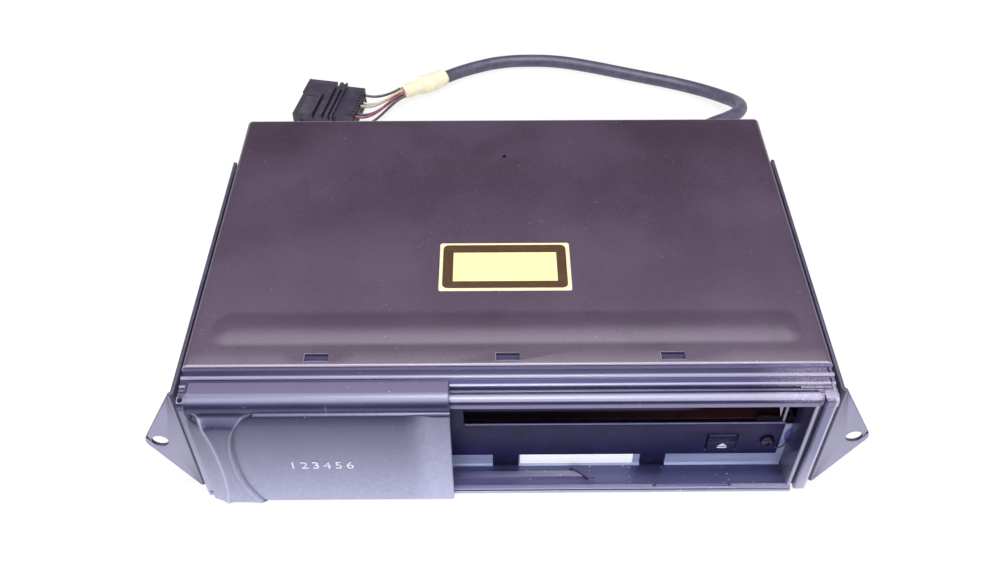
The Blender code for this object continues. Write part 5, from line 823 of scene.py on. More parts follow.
def make_tape():
    """Paper tape wound round the sheath's end and the cores: overlapping laps of uneven width."""
    stations, around, laps, lap_rise = 44, 24, 5.5, 0.28
    girth = [(0, 4.7), (0.06, 5.0), (0.3, 5.6), (0.58, 5.5), (0.66, 4.7), (0.72, 4.3), (0.9, 4.2), (1, 3.5)]
    knots = [Vector(place) for place in TAPE_ROUTE]
    heading = (knots[-1] - knots[0]).normalized()
    side = heading.cross(Vector((0, 0, 1))).normalized()
    rise = side.cross(heading)
    rings = []
    for share in spread(0, 1, stations):
        leg = share * (len(knots) - 1)
        index = min(len(knots) - 2, int(leg))
        centre = knots[index].lerp(knots[index + 1], leg - index)
        radius = eased(girth, share) + lap_rise * ((share * laps) % 1.0)
        ring = []
        for turn in range(around):
            angle = 2 * math.pi * turn / around
            creases = 0.16 * math.sin(3 * angle + share * 9) + 0.12 * math.sin(5 * angle - share * 17)
            reach = radius + creases
            # The underside is pressed flat, just off the table
            height = reach * math.sin(angle)
            height = max(height, 0.2 - centre.z) if height < 0 else height * 0.93
            ring.append(centre + side * reach * 1.04 * math.cos(angle) + rise * height)
        rings.append(ring)
    wrap = lofted("tape_wrap_paper", rings)
    return settle(wrap, "case", "paper_tape", TAPE, "tape_wrap", smooth=50)


def make_cores():
    """Six cores that leave the tape together and fan out to the connector's back."""
    out = PLUG_SEAT.to_3x3() @ Vector((1, 0, 0))
    last = Vector(TAPE_ROUTE[-1])
    heading = (last - Vector(TAPE_ROUTE[-2])).normalized()
    across = heading.cross(Vector((0, 0, 1)))
    bundle, fan, sag = 6.09, 27.6, Vector((0, 0, -1.7))
    colours = (
        ("brown", "#6E5350", "#4E3840"), ("red", "#A4566A", "#803C50"), ("violet", "#5B4A78", "#43375C"),
        ("yellow", "#E6DBAE", "#C9B98A"), ("white", "#E4E4EE", "#BDBDD0"), ("black", "#3A323E", "#4A404C"),
    )
    made = []
    for index, (colour, light, dark) in enumerate(colours):
        share = index / 5 - 0.5
        row = Vector((0, 0, 1.0 if index % 2 else -1.0))
        a = last + heading * 0.6 + across * share * bundle + row
        d = PLUG_SEAT @ Vector((11.3, share * fan, 6.75)) + row
        reach = (d - a).length / 3
        b = a + heading * reach + sag
        c = d + out * reach + sag
        points = []
        for t in spread(0, 1, 8):
            points.append(a * (1 - t) ** 3 + b * 3 * t * (1 - t) ** 2 + c * 3 * t * t * (1 - t) + d * t**3)
        core = as_mesh(string(f"core_{colour}", points, 0.8))
        finish = soft_plastic(f"pvc_core_{colour}", dark, light, 0.4)
        made.append(settle(core, "case", f"wire_{colour}", finish, f"wire_{colour}"))
    return made


def make_connector():
    """Two mated halves lying on the table: the keyed housing with its latch, and the body with its
    cavities."""
    shell = block("plug_shell", (-24.5, -17, 0), (-0.3, 17, 13.2))
    carved(
        shell,
        block("long_groove", (-6.6, -20, 9.6), (-4.9, 20, 16)),
        block("long_groove", (-2.9, -20, 9.2), (-1.5, 20, 16)),
        block("slot", (-12.4, -20, 9.0), (-10.4, 3.5, 16)),
        block("panel_recess", (-21.2, -20, 12.5), (-14.0, 1.0, 16)),
        block("edge_step", (-26, -20, 11.9), (-22.6, 3.0, 16)),
        block("side_slot", (-20, -18, 4.2), (-6, -15.6, 8.8)),
        block("side_slot", (-20, 15.6, 4.2), (-6, 18, 8.8)),
        block("mouth", (-26, -14.2, 2.4), (-21.5, 14.2, 9.2)),
    )
    rounded(shell, 0.35, 2)
    bar = rounded(block("plug_bar", (-24.2, 14.0, 10.2), (-8.0, 16.6, 13.45)), 0.5, 3)
    latch = rounded(block("plug_latch", (-9.6, 6.0, 10.2), (-7.2, 16.2, 13.4)), 0.4, 3)
    tooth = rounded(block("plug_tooth", (-3.0, 9.4, 12.2), (-0.9, 15.4, 13.45)), 0.25)
    housing = seated(together("plug_housing_shell", shell, bar, latch, tooth), PLUG_SEAT)
    settle(housing, "case", "dark_moulding", NYLON, "plug_housing")
    body = block("plug_body_block", (0, -15.4, 0), (11, 15.4, 11.9))
    columns = spread(-12.6, 12.6, 9)
    holes = []
    for y in columns:
        for z in (3.6, 7.9):
            holes.append(block("cavity", (9.0, y - 1.0, z - 1.3), (12, y + 1.0, z + 1.3)))
    for y in columns[:-1]:
        holes.append(block("notch", (9.3, y + 0.7, 9.4), (12, y + 1.9, 13)))
    rounded(carved(body, *holes), 0.25, 2)
    settle(seated(body, PLUG_SEAT), "case", "dark_moulding", NYLON, "plug_body")
    return housing, body


grommet = make_grommet()
cable = make_cable()
tape = make_tape()
cores = make_cores()
connector = make_connector()


# Case


def bead_height(x, y):
    """How far the stamped bead lifts the sheet: a long swelling with round ends and a crease round it."""
    corner, flank, height = 6.5, 8.0, 0.9
    away_x = abs(x) - (BEAD_HALF_X - corner)
    away_y = abs(y - BEAD_Y) - (BEAD_HALF_Y - corner)
    outside = math.hypot(max(away_x, 0), max(away_y, 0)) + min(max(away_x, away_y), 0) - corner
    return height * math.sin(QUARTER * within(-outside / flank))


def make_cover():
    """The pressed cover: rounded bends, the bead, three snap windows, a punched hole and a rolled front."""
    sheet, near = 0.8, 0.01
    cover = block("top_cover_sheet", (-CASE_HALF, COVER_FRONT, 0.5), (CASE_HALF, CASE_BACK, TOP))

    def bends(a, b):
        """The top's edges apart from the front one, and the upright ones at the back."""
        top = a.z > TOP - 1 and b.z > TOP - 1
        front = a.y < COVER_FRONT + 1 and b.y < COVER_FRONT + 1
        upright = abs(a.z - b.z) > 1 and a.y > CASE_BACK - 1
        return (top and not front) or upright

    choose(cover, "EDGE", bends)
    bpy.ops.mesh.bevel(offset=2.5, segments=6, affect="EDGES")
    choose(cover, "FACE", lambda centre, normal: normal.y < -0.9 or normal.z < -0.9)
    bpy.ops.mesh.delete(type="FACE")
    # Cuts across the top, close together on the bead's flanks, give it points to rise by
    flanks = spread(BEAD_Y - BEAD_HALF_Y, BEAD_Y + BEAD_HALF_Y, 16)
    ends = [*spread(BEAD_HALF_X - 8.5, BEAD_HALF_X, 9), 120.0]
    cuts = [((0, y, 0), (0, 1, 0)) for y in (24.5, 26.5, *flanks, 45.5, 60, 90, 130)]
    cuts += [((side * x, 0, 0), (1, 0, 0)) for side in (-1, 1) for x in ends]
    cuts += [((x, 0, 0), (1, 0, 0)) for x in range(-90, 91, 30)]
    for place, normal in cuts:
        bpy.ops.mesh.select_all(action="SELECT")
        bpy.ops.mesh.bisect(plane_co=place, plane_no=normal)
    bpy.ops.object.mode_set(mode="OBJECT")
    for vertex in cover.data.vertices:
        if vertex.co.z > TOP - near:
            vertex.co.z += bead_height(vertex.co.x, vertex.co.y)
    finished(cover, "SOLIDIFY", thickness=sheet, offset=-1)
    cutters = []
    for x in SNAP_WINDOWS:
        low, high = (x - SNAP_HALF, SNAP_FRONT, TOP - 4), (x + SNAP_HALF, SNAP_BACK, TOP + 4)
        cutters.append(block("window", low, high))
    cutters.append(rod("hole", (0, 145, TOP), 1.0, 8, steps=24))
    cutters.append(rod("cable_hole", CABLE_HOLE, 5.9, 8, "Y"))
    for y in BRACKET_SCREWS:
        cutters.append(rod("screw_hole", (0, y, BRACKET_SCREW_Z), SCREW_HOLE, 270, "X", 24))
    carved(cover, *cutters)

    def front_lip(a, b):
        """The outer edge along the top's front."""
        along_front = a.y < COVER_FRONT + near and b.y < COVER_FRONT + near
        return along_front and a.z > TOP - near and b.z > TOP - near and abs(a.x - b.x) > 0.5

    choose(cover, "EDGE", front_lip)
    bpy.ops.mesh.bevel(offset=0.55, segments=3, affect="EDGES")
    bpy.ops.object.mode_set(mode="OBJECT")
    settle(cover, "case", "black_steel", COAT, "top_cover")


def make_window_highlights():
    """A thin, slightly raised pale ring round each snap window, open at the right: a painted highlight."""
    low = (-SNAP_HALF - 0.2, SNAP_FRONT - 0.18, TOP - 0.3)
    highlight_ring = block("window_highlight_ring", low, (SNAP_HALF + 0.1, SNAP_BACK + 0.25, TOP + 0.04))
    carved(highlight_ring, block("inside", (-SNAP_HALF, SNAP_FRONT, TOP - 4), (6, SNAP_BACK + 0.05, TOP + 4)))
    settle(at_snaps("window_highlight_rings", highlight_ring), "case", "black_steel", WINDOW_HIGHLIGHT)


make_cover()
make_window_highlights()


def make_bracket(side, node):
    """One bent sheet: the side plate with its sloping tail, and the ear with its round tip and hole."""
    inner, outer, front, back, foot, top = 128.2, 129.7, 4.1, 144.0, 0.5, 63.0
    sheet, bend, bend_back = outer - inner, 2.2, 0.7
    hole, tip_radius = Vector((140.3, 33.0)), 5.8
    strip = [
        (inner, back), *arc((inner + bend, front + bend), bend, 180, 270), (151, front),
        (151, front + sheet), *arc((outer + bend_back, front + bend), bend_back, 270, 180, 4),
        (outer, back),
    ]
    plate = drawn(f"{node}_plate", [(x * side, y) for x, y in strip], "Z", foot, top)
    # The ear's two sloping edges leave its round tip where they touch it
    edge_x = outer + bend_back
    corners = [Vector((edge_x, foot)), Vector((edge_x, top))]
    angles = []
    for corner, turn in zip(corners, (-1, 1)):
        away = corner - hole
        angles.append(math.degrees(math.atan2(away.y, away.x) - turn * math.acos(tip_radius / away.length)))
    while angles[1] < angles[0]:
        angles[1] += 360
    keep = [
        (inner - 5, -5), (edge_x, -5), tuple(corners[0]), *arc(hole, tip_radius, *angles, 16),
        tuple(corners[1]), (edge_x, 70), (inner - 5, 70),
    ]
    carved(plate, drawn("keep", [(x * side, z) for x, z in keep], "Y", -5, 150), operation="INTERSECT")
    tail = [(132.0, -5), (150, -5), (150, 18), (back, 12.5), (132.0, 0.5)]
    cutters = [
        drawn("tail", tail, "X", *sorted((side * 120, side * 135))),
        rod("ear_hole", (hole.x * side, front, hole.y), 3.3, 10, "Y"),
    ]
    for y in BRACKET_SCREWS:
        cutters.append(rod("screw_hole", (side * 129, y, BRACKET_SCREW_Z), SCREW_HOLE, 8, "X", 24))
    carved(plate, *cutters)
    rounded(plate, 0.3, 2, 40)
    settle(plate, "case", "black_steel", BRACKET_STEEL, node)


make_bracket(-1, "bracket_left")
make_bracket(1, "bracket_right")


def bezel_beam():
    """The top beam: rib, shoulder, two door tracks and nose, with a groove beside the rim."""
    rib = arc((12.4, BEAM_TOP), 1.05, 0, 180, 12)
    shoulder = [
        (11.1, BEAM_TOP), (9.2, BEAM_TOP), (8.9, BEAM_TOP), (8.4, 62.55), (8.0, 62.35), (7.7, 62.0),
        (7.4, 61.4),
    ]
    tracks = [
        (7.4, TRACK_FLOOR), (6.1, TRACK_FLOOR), (6.1, TRACK_TOP), (5.3, TRACK_TOP), (5.3, TRACK_FLOOR),
        (4.65, TRACK_FLOOR), (4.65, TRACK_TOP),
    ]
    nose_radius = 2.9
    nose_centre = (3.55, TRACK_TOP - nose_radius)
    nose = [
        *arc(nose_centre, nose_radius, 90, 180, 12), *arc((1.1, 57.9), 0.45, 180, 270, 4), (4.5, 57.45),
        (4.5, BEAM_BOTTOM),
    ]
    section = [(16.4, BEAM_BOTTOM), (16.4, BEAM_TOP), *rib, *shoulder, *tracks, *nose]
    beam = rounded(drawn("beam", section, "X", -126.9, 126.9), 0.16, 2, 40)
    notch = [
        (-1, 50), (-1, 70), (4.6, 70), (4.4, TRACK_TOP + 0.3),
        *arc(nose_centre, nose_radius - 0.9, 90, 180, 8), (1.85, 50),
    ]
    groove = drawn("groove", notch, "X", GROOVE_LEFT, GROOVE_RIGHT)
    return carved(beam, groove, rod("end_hole", (-125.5, 2.7, 61), 1.1, 6, "Z", 24))


def post(name, outline, low, high, foot, brow, front, side, lines=()):
    """A post along Z whose ends round back from the front and inwards from one side."""
    levels = [(low + foot - foot * math.sin(a), foot * (1 - math.cos(a))) for a in (1.57, 1.2, 0.8, 0.4, 0)]
    levels += lines
    for a in (0, 0.3, 0.6, 0.9, 1.2, 1.4, 1.57):
        levels.append((high - brow + brow * math.sin(a), brow * (1 - math.cos(a))))
    rings = [[(min(x, side - d), max(y, front + d), z) for x, y in outline] for z, d in levels]
    return lofted(name, rings)


def bezel_columns():
    """The right column with its seam line, the rim beside the opening, the gutter between them, and the
    softened corner where the rim meets the beam."""
    column = [
        (BEZEL_HALF, 16.4), (125.0, 16.4), (125.0, 5.2), (GROOVE_RIGHT, 5.2), (GROOVE_RIGHT, 3.2),
        *arc((GROOVE_RIGHT + 1.1, 1.1), 1.1, 180, 262, 6), *arc((124.7, 2.3), 2.3, 270, 360, 10),
    ]
    seam = [(30.0, 0.0), (57.6, 0.0), (57.9, 0.0), (58.05, 0.25), (58.25, 0.25), (58.4, 0.0)]
    right = post("right_column", column, 0.4, BEAM_TOP, 1.0, 1.5, 0.0, BEZEL_HALF, seam)
    edge = [
        (GROOVE_LEFT, 13.3), (RIM_LEFT, 13.3), *arc((RIM_LEFT + 0.8, 1.1), 0.8, 180, 270, 6),
        *arc((GROOVE_LEFT - 0.8, 1.1), 0.8, 270, 360, 6),
    ]
    rim = post("rim", edge, 0.4, 60.0, 0.4, 1.9, 0.3, 200.0, [(30.0, 0.0)])
    gutter = block("gutter", (GROOVE_LEFT - 0.1, 3.2, 0.4), (GROOVE_RIGHT + 0.1, 5.2, 61.9))
    reach = RIM_LEFT + 0.2
    fillet = [
        (reach, 58.6), (reach, 55.6), *arc((reach - 2.6, 55.8), 2.4, 0, 90, 8), (reach - 3.6, 58.2),
        (reach - 3.6, 58.6),
    ]
    corner = rounded(drawn("corner", fillet, "Y", 1.2, 13.0), 0.2, 2, 60)
    return right, rim, gutter, corner


def bezel_left_wall():
    """The plain wall behind the parked door, with room for the leaf and a groove for its foot."""
    left = [
        (-BEZEL_HALF, 16.4), (-BEZEL_HALF, 0.9), *arc((-126.1, 0.9), 0.9, 180, 270, 5), (OPENING_LEFT, 0),
        (OPENING_LEFT, 11.7), (-27.9, 11.7), (-27.9, 2.0), (-125.0, 2.0), (-125.0, 16.4),
    ]
    wall = rounded(drawn("left_wall", left, "Z", 0.4, 58.6), 0.15, 1, 60)
    leaf_room = block("leaf_room", (-121.5, -1, 50.2), (-22.0, 1.3, 60))
    return carved(wall, leaf_room, block("foot_groove", (-125.1, -4, 1.1), (-22.0, 1.2, 2.0)))


def bezel_floor():
    """The floor with its lip and the foot's groove, and what stands on it: step, rail and hump."""
    lip = [
        (-0.6, 0.1), (14.6, 0.2), (14.6, 0.35), (12.3, 0.35), (12.3, FLOOR_TOP), (2.2, FLOOR_TOP),
        (1.8, 1.5), (1.8, 2.6), (-0.2, 2.6), (-0.2, 1.15), (-0.6, 1.05),
    ]
    floor = drawn("floor", lip, "X", -126.2, GROOVE_LEFT)
    carved(floor, block("foot_groove", (-125.1, -0.21, 1.15), (120.4, 1.2, 2.0)))
    rounded(floor, 0.2, 3, 40)
    step = drawn("step", [(60.6, 2.2), (62.6, 3.9), (93.6, 3.9), (95.6, 2.2)], "Y", 0.0, 1.4)
    rounded(step, 0.3, 2, 30)
    rail = drawn("rail", [(-26.9, 6.4), (35.0, 6.4), (31.4, 9.2), (-26.9, 9.2)], "Z", 0.6, 2.2)
    rounded(rail, 0.35, 3, 40)
    hump = drawn("hump", [(37.6, 4.6), (34.6, 4.6), (26.6, 10.4), (29.6, 10.4)], "Z", 0.6, 3.2)
    rounded(hump, 0.6, 4, 40)
    return floor, step, rail, hump


def bezel_painted_highlights(p):
    """Painted highlights on the bezel's edges and rounds: rib, shoulder, nose, right column, rail, lip and
    rim.
    """
    if p.z > 62.9 and 11 < p.y < 14:
        return 0.4
    if p.z > 62.3 and 8.2 < p.y < 9.0:
        return 0.5
    if p.z > 61 and 1.4 < p.y < 3.6:
        return 0.4
    if p.x > 125.4 and p.y < 1.6:
        return 0.75
    if OPENING_LEFT < p.x < 35.2 and 1.9 < p.z < 4 and 5.9 < p.y < 9.6:
        return 0.4
    if p.x > OPENING_LEFT - 1 and p.z < 2.7 and p.y < 1.9:
        return 0.4
    return 0.35 if RIM_LEFT - 0.1 < p.x < GROOVE_LEFT and p.y < 0.6 else 0.0


def bezel_painted_shade(p):
    """Painted shade on the tongue seen through the windows, and in the hollow beside the rib."""
    if p.y > 20.9:
        return 0.95
    return 0.4 if 9.9 < p.y < 11.3 and p.z > 62 else 0.0


def bezel_foot_light(p):
    """Painted light at the left end: paler towards the foot, as lit from the table in front."""
    return 0.9 * (1 - p.z / 56) if p.x < -119 and p.y < 1 and p.z < 56 else 0.0


def make_bezel():
    """The moulded front as one piece, with its tongue under the cover and the stops in its tracks."""
    tongue = [(16.1, 61.8), (16.7, 61.8), (24.4, 62.7), (24.4, 63.9), (16.1, 63.9)]
    shelf = drawn("tongue", tongue, "X", -126.6, 126.6)
    stops = []
    for x, y in ((113.0, 7.0), (119.5, 5.0)):
        stops.append(rounded(block("track_stop", (x, y - 0.6, 60.1), (126.5, y + 0.6, 62.12)), 0.1, 1))
    for y in (7.0, 5.0):
        stops.append(block("track_end", (-126.8, y - 0.6, 60.1), (-124.4, y + 0.6, 62.12)))
    right, rim, gutter, corner = bezel_columns()
    shells = [right, rim, gutter, bezel_left_wall(), *bezel_floor(), corner, shelf, *stops, bezel_beam()]
    bezel = together("front_bezel_moulding", *shells)
    painted(bezel, "painted_highlight", bezel_painted_highlights)
    painted(bezel, "painted_shade", bezel_painted_shade)
    painted(bezel, "foot_light_and_pale_end", bezel_foot_light)
    settle(bezel, "case", "black_moulding", BEZEL_ABS, "front_bezel")


def make_barbs():
    """The bezel's snaps, which show in the cover's three windows."""
    section = [(21.0, 63.3), (20.8, 63.9), (20.2, 64.5), (19.0, 64.5), (19.0, 63.3)]
    barb = rounded(drawn("barb", section, "X", -4.35, 4.35), 0.12, 2, 40)
    settle(at_snaps("snap_barbs", barb), "case", "black_moulding", BUTTON_ABS)


make_bezel()
make_barbs()


# Sliding door

DOOR_LEFT, DOOR_RIGHT, NOSE_TOP = -123.8, -22.5, 64.8
BAR_RADIUS, BAR_WALL, BAR_Y, BAR_Z = 5.2, 1.25, 3.6, 59.6
NOSE_FOOT = 57.4

# Curves of the leaf's face as (height, place along X) and (height, how proud it stands), from the foot up
RIDGE = (
    (0.3, -117.4), (12, -115.6), (24, -115.0), (36, -115.4), (46, -116.2), (53.6, -118.0), (58.2, -121.4),
    (59.6, -122.0),
)
WALL = (
    (0.3, -102.4), (4.5, -104.2), (13, -107.3), (23, -108.7), (33, -108.9), (44.7, -107.5), (52.0, -104.9),
    (55.6, -101.6), (57.4, -98.0), (59.6, -97.0),
)
NOTCH = ((58.55, 1.2), (58.75, 1.12), (58.95, 1.25), (59.15, 1.5), (59.6, 1.6))
PLAIN_FACE = (
    (0.3, 3.3), (0.8, 3.7), (3, 3.8), (10, 3.72), (25, 3.45), (40, 3.1), (46, 2.9), (49, 2.74), (51, 2.54),
    (52.5, 2.3), (54, 1.95), (55.5, 1.5), (56.5, 1.1), (57.2, 0.85), (57.45, 1.0), (57.6, 2.1), (57.8, 2.5),
    (58.05, 2.45), (58.3, 1.95), *NOTCH,
)
GRIP_FACE = (
    (0.3, 4.7), (1.2, 5.1), (3, 5.2), (30, 5.25), (48, 5.25), (49.3, 5.23), (50.5, 5.15), (51.7, 4.95),
    (52.7, 4.6), (53.5, 4.1), (54.2, 3.4), (54.8, 2.6), (55.3, 1.8), (55.7, 1.1), (56.0, 0.8), (56.4, 0.7),
    (58.2, 0.8), *NOTCH,
)
END_FACE = (
    (0.3, 3.3), (0.8, 3.7), (3, 3.8), (30, 3.76), (50, 3.5), (55, 3.2), (57.2, 2.9), (57.8, 2.6),
    (58.3, 1.95), *NOTCH,
)
EDGE_FACE = ((0.3, 2.3), (1.2, 2.35), (30, 2.35), (50, 2.35), (53, 1.9), (57, 1.3), (58.2, 1.15), *NOTCH)


def upright(x):
    """A straight line up the leaf."""
    return lambda z: x


def curved(stations, shift=0.0):
    """A curved line up the leaf, a step to its side."""
    return lambda z: eased(stations, z) + shift


# The leaf's sections from left to right: how far along each one lies, its line up the leaf, its face, how
# far that is pulled forwards, and how far the bar is lowered there
LEAF = (
    (0.0, upright(DOOR_LEFT), EDGE_FACE, -0.5, 0.4),
    (0.7, upright(DOOR_LEFT + 0.5), EDGE_FACE, 0.0, 0.08),
    (1.4, upright(DOOR_LEFT + 1.1), EDGE_FACE, 0.2, 0.0),
    (6.0, curved(RIDGE, -1.0), GRIP_FACE, -0.45, 0.0),
    (7.0, curved(RIDGE), GRIP_FACE, 0.3, 0.0),
    (8.0, curved(RIDGE, 1.0), GRIP_FACE, -0.1, 0.0),
    (11.5, curved(RIDGE, 3.4), GRIP_FACE, -0.4, 0.0),
    (14.6, curved(WALL, -1.9), GRIP_FACE, -0.1, 0.0),
    (15.4, curved(WALL, -1.0), GRIP_FACE, 0.05, 0.0),
    (16.2, curved(WALL), PLAIN_FACE, 0.3, 0.0),
    (16.9, curved(WALL, 0.6), PLAIN_FACE, -0.2, 0.0),
    (18.8, curved(WALL, 2.6), PLAIN_FACE, 0.0, 0.0),
    (86.8, upright(-37.0), PLAIN_FACE, 0.0, 0.0),
    (93.1, upright(-29.5), END_FACE, 0.0, 0.0),
    (99.5, upright(-24.2), END_FACE, 0.0, 0.0),
    (100.7, upright(-22.9), END_FACE, -0.15, 0.08),
    (101.3, upright(DOOR_RIGHT), END_FACE, -0.7, 0.4),
)


def leaf_ring(place, heights):
    """One ring round the leaf: up its face, over the bar, down behind it and down the back."""
    pulled = eased([(at, pull) for at, _, _, pull, _ in LEAF], place)
    lowered = eased([(at, drop) for at, _, _, _, drop in LEAF], place)
    ring = []
    for z in heights:
        x = eased([(at, line(z)) for at, line, _, _, _ in LEAF], place)
        stand = [(at, eased(face, z) + pull * within(NOSE_FOOT - z)) for at, _, face, pull, _ in LEAF]
        in_notch = z > 58.5 and DOOR_LEFT + 1.2 < x < DOOR_RIGHT - 1.2
        ring.append((x, -(eased(NOTCH, z) if in_notch else eased(stand, place)), z))
    x = ring[-1][0]
    at_end = x < DOOR_LEFT + 1.2 or x > DOOR_RIGHT - 1.2
    radius = BAR_RADIUS + (min(pulled, 0) if at_end else 0)
    for a in spread(0, QUARTER, 18)[1:]:
        ring.append((x, BAR_Y - radius * math.cos(a), BAR_Z + (BAR_RADIUS - lowered) * math.sin(a)))
    ring += [(x, 8.6, NOSE_TOP - lowered), (x, 8.8, NOSE_TOP - 0.4 - lowered)]
    ring.append((x, 8.8, NOSE_TOP - BAR_WALL))
    ring += [(x, y, z) for y, z in arc((BAR_Y, BAR_Z), BAR_RADIUS - BAR_WALL, 90, 180, 8)]
    for y, z in ((-0.35, 56.0), (-0.35, 53.0), (-1.5, 50.4), (-1.5, 0.3)):
        # The back keeps a wall behind the face, also where the face stands back at the leaf's ends
        face_y = min(ring, key=lambda point: abs(point[2] - z) + (100 if point[1] > 0 else 0))[1]
        ring.append((x, max(y, face_y + (0.45 if z < 50.5 else 0.2)), z))
    return ring


def door_line(p, stations, shift, width):
    """How near a point of the leaf's face is to one of its curves, in a soft band."""
    return soft_band(p.x - eased(stations, p.z) - shift, width) if p.y < 0 and p.z < 57.5 else 0


def door_foot_light_and_pale_end(p):
    """Painted light, paler towards the foot as lit from the table in front; paler at the right end too."""
    end = within((p.x + 40) / 9)
    share = 0.8 * (1 - max(p.z, 0) / 56)
    return max(0, share + (0.38 - share * 0.25) * end * end * (3 - 2 * end) * within((57.6 - p.z) / 0.8))


def door_painted_highlights(p):
    """Painted highlights on the bar's round, the grip's ridge and beside its wall."""
    bar = 0.3 * soft_band(p.z - 63.9, 0.65) if p.y < 3.2 else 0
    return bar + 0.5 * door_line(p, RIDGE, 0, 0.5) + 0.25 * door_line(p, WALL, -1.0, 0.45)


def door_painted_shade(p):
    """Painted shade in the hollow under the bar, on the ledge below it, in a band on the plain face under
    it, and along the grip's wall.
    """
    if p.y > 0:
        return 0.0
    if 58.45 < p.z < 62:
        return 0.55
    if 57.3 < p.z < 58.5:
        return 0.35
    plain = within((-33 - p.x) / 6) * within(p.x - eased(WALL, p.z))
    under = soft_band(p.z - 54.0, 2.1) * plain
    return 0.6 * door_line(p, WALL, 0.35, 0.4) + 0.2 * door_line(p, WALL, -2.2, 0.5) + 0.55 * under


def make_door():
    """The leaf's curved skin: a rounded bar on top, a hollow under it, and the raised grip at the left."""
    heights = [
        0.3, 0.5, 0.8, 1.2, 2, 3, *spread(6, 48, 14), *spread(49, 56, 21), 56.4, 56.8, 57.1, 57.25, 57.35,
        57.45, 57.53, 57.6, 57.7, 57.8, 57.92, 58.05, 58.2, 58.35, 58.5, 58.65, 58.8, 58.95, 59.1, 59.3,
        59.6,
    ]
    places = []
    for (here, *_), (there, *_) in zip(LEAF, LEAF[1:]):
        places += spread(here, there, 3 if there - here < 20 else 20)[:-1]
    places.append(LEAF[-1][0])
    skin = lofted("door_skin", [leaf_ring(place, heights) for place in places])
    hook = block("hook", (-113.8, 6.8, 60.8), (-32.5, 7.2, 64.15))
    foot = block("foot", (-113.8, -1.8, 1.4), (-32.5, 0.9, 1.9))
    door = together("door_outer_skin", hook, foot, skin)
    painted(door, "foot_light_and_pale_end", door_foot_light_and_pale_end)
    painted(door, "painted_highlight", door_painted_highlights)
    painted(door, "painted_shade", door_painted_shade)
    settle(door, "door_outer", "black_moulding", DOOR_ABS, "door_outer", smooth=40)


make_door()


def make_inner_leaf():
    """The second leaf: a plain sheet that bends round the nose and hooks into the near track."""
    bend_y, outer, inner = 3.5, 3.6, 3.15
    outside = [
        (-1.2, 2.7), (-1.2, 49.8), (-0.1, 52.6), *arc((bend_y, BAR_Z), outer, 180, 90, 10),
        (5.2, BAR_Z + outer),
    ]
    hook = [(5.2, 60.8), (4.8, 60.8), (4.8, BAR_Z + inner)]
    inside = [*arc((bend_y, BAR_Z), inner, 90, 180, 10), (0.35, 52.8), (-0.3, 50.0), (-0.3, 2.7)]
    leaf = drawn("door_inner_leaf", [*outside, *hook, *inside], "X", -93.8, -35.8)
    rounded(leaf, 0.1, 2, 40)
    settle(leaf, "door_inner", "dark_moulding", DUSTY, "door_inner")


make_inner_leaf()


def make_numerals():
    """Plain disc numbers pad-printed on the door, one to six."""
    pick()
    bpy.ops.object.text_add()
    text = bpy.context.active_object
    text.data.body = "1 2 3 4 5 6"
    text.data.size = 6.6
    text.data.offset = 0.012
    text.data.align_x, text.data.align_y = "CENTER", "CENTER"
    text.data.space_character = 0.92
    text = as_mesh(text)
    text.name = "door_numerals"
    seated(text, Matrix.Translation((-75.2, -3.52, 26.2)) @ Matrix.Rotation(QUARTER, 4, "X"))
    finished(text, "SOLIDIFY", thickness=0.25, offset=1)
    settle(text, "door_outer", "black_moulding", PRINT_PALE)


make_numerals()


# Slot panel, button and screw


def make_panel():
    """The panel under the slot: a stepped plate whose top edge is softly rounded."""
    low, top, step_top = 9.6, 31.3, 56.7
    outline = [
        (-41.9, low), (114.8, low), (114.8, top), (-16.9, top),
        *arc((-16.9, top + 1), 1.0, 270, 180, 4)[1:], (-17.9, step_top), (-41.9, step_top),
    ]
    panel = drawn("slot_panel_plate", outline, "Y", PANEL_FRONT, 13.2)
    x, z = BUTTON
    screw_x, screw_z = PANEL_SCREW
    carved(
        panel,
        block("button_window", (x - 6.3, 10, z - 6.9), (x + 6.3, 15, z + 3.9)),
        rod("screw_hole", (screw_x, 12.6, screw_z), SCREW_HOLE, 5, "Y", 24),
    )
    rounded(panel, 0.55, 4, 40)
    settle(panel, "case", "dark_moulding", DUSTY, "slot_panel")


def make_felt_seals():
    """Thin black felt behind the panel's top edge, and a black plate before the chassis at its right end:
    painted shade that hides the upright there.
    """
    # Painted shade: a black plate over the upright where it sits in shade
    shade_plate = block("shade_plate", (102.4, 13.2, 29.5), (118.9, 13.42, 34.3))
    slot_seal = block("slot_seal", (-17.4, 13.2, 29.9), (113.2, 14.9, 30.9))
    settle(rounded(together("felt_and_shade_plate", shade_plate, slot_seal), 0.05, 1), "case", "dark_moulding", FELT)


def make_button():
    """The button's cap with its finger ledge, the flange behind it and the stem to the lever."""
    x, z = BUTTON
    cap = block("cap", (x - 6.1, 11.3, z - 6.7), (x + 6.1, 14.1, z + 3.2))
    rounded(cap, 0.5, 3)
    section = [(11.5, z + 2.55), (10.0, z + 2.5), *arc((10.1, z + 2.0), 0.5, 100, 250, 6), (11.5, z + 1.4)]
    ledge = rounded(drawn("ledge", section, "X", x - 5.9, x + 5.9), 0.25, 2)
    flange = block("flange", (x - 7.6, 13.5, z - 7.9), (x + 7.6, 14.7, z + 6.6))
    stem = block("stem", (x - 2, 14.1, z - 1.5), (x + 2, 19.0, z + 1.5))
    button = together("eject_button_cap", ledge, flange, stem, cap)
    settle(button, "eject_button", "black_moulding", BUTTON_ABS, "eject_button")


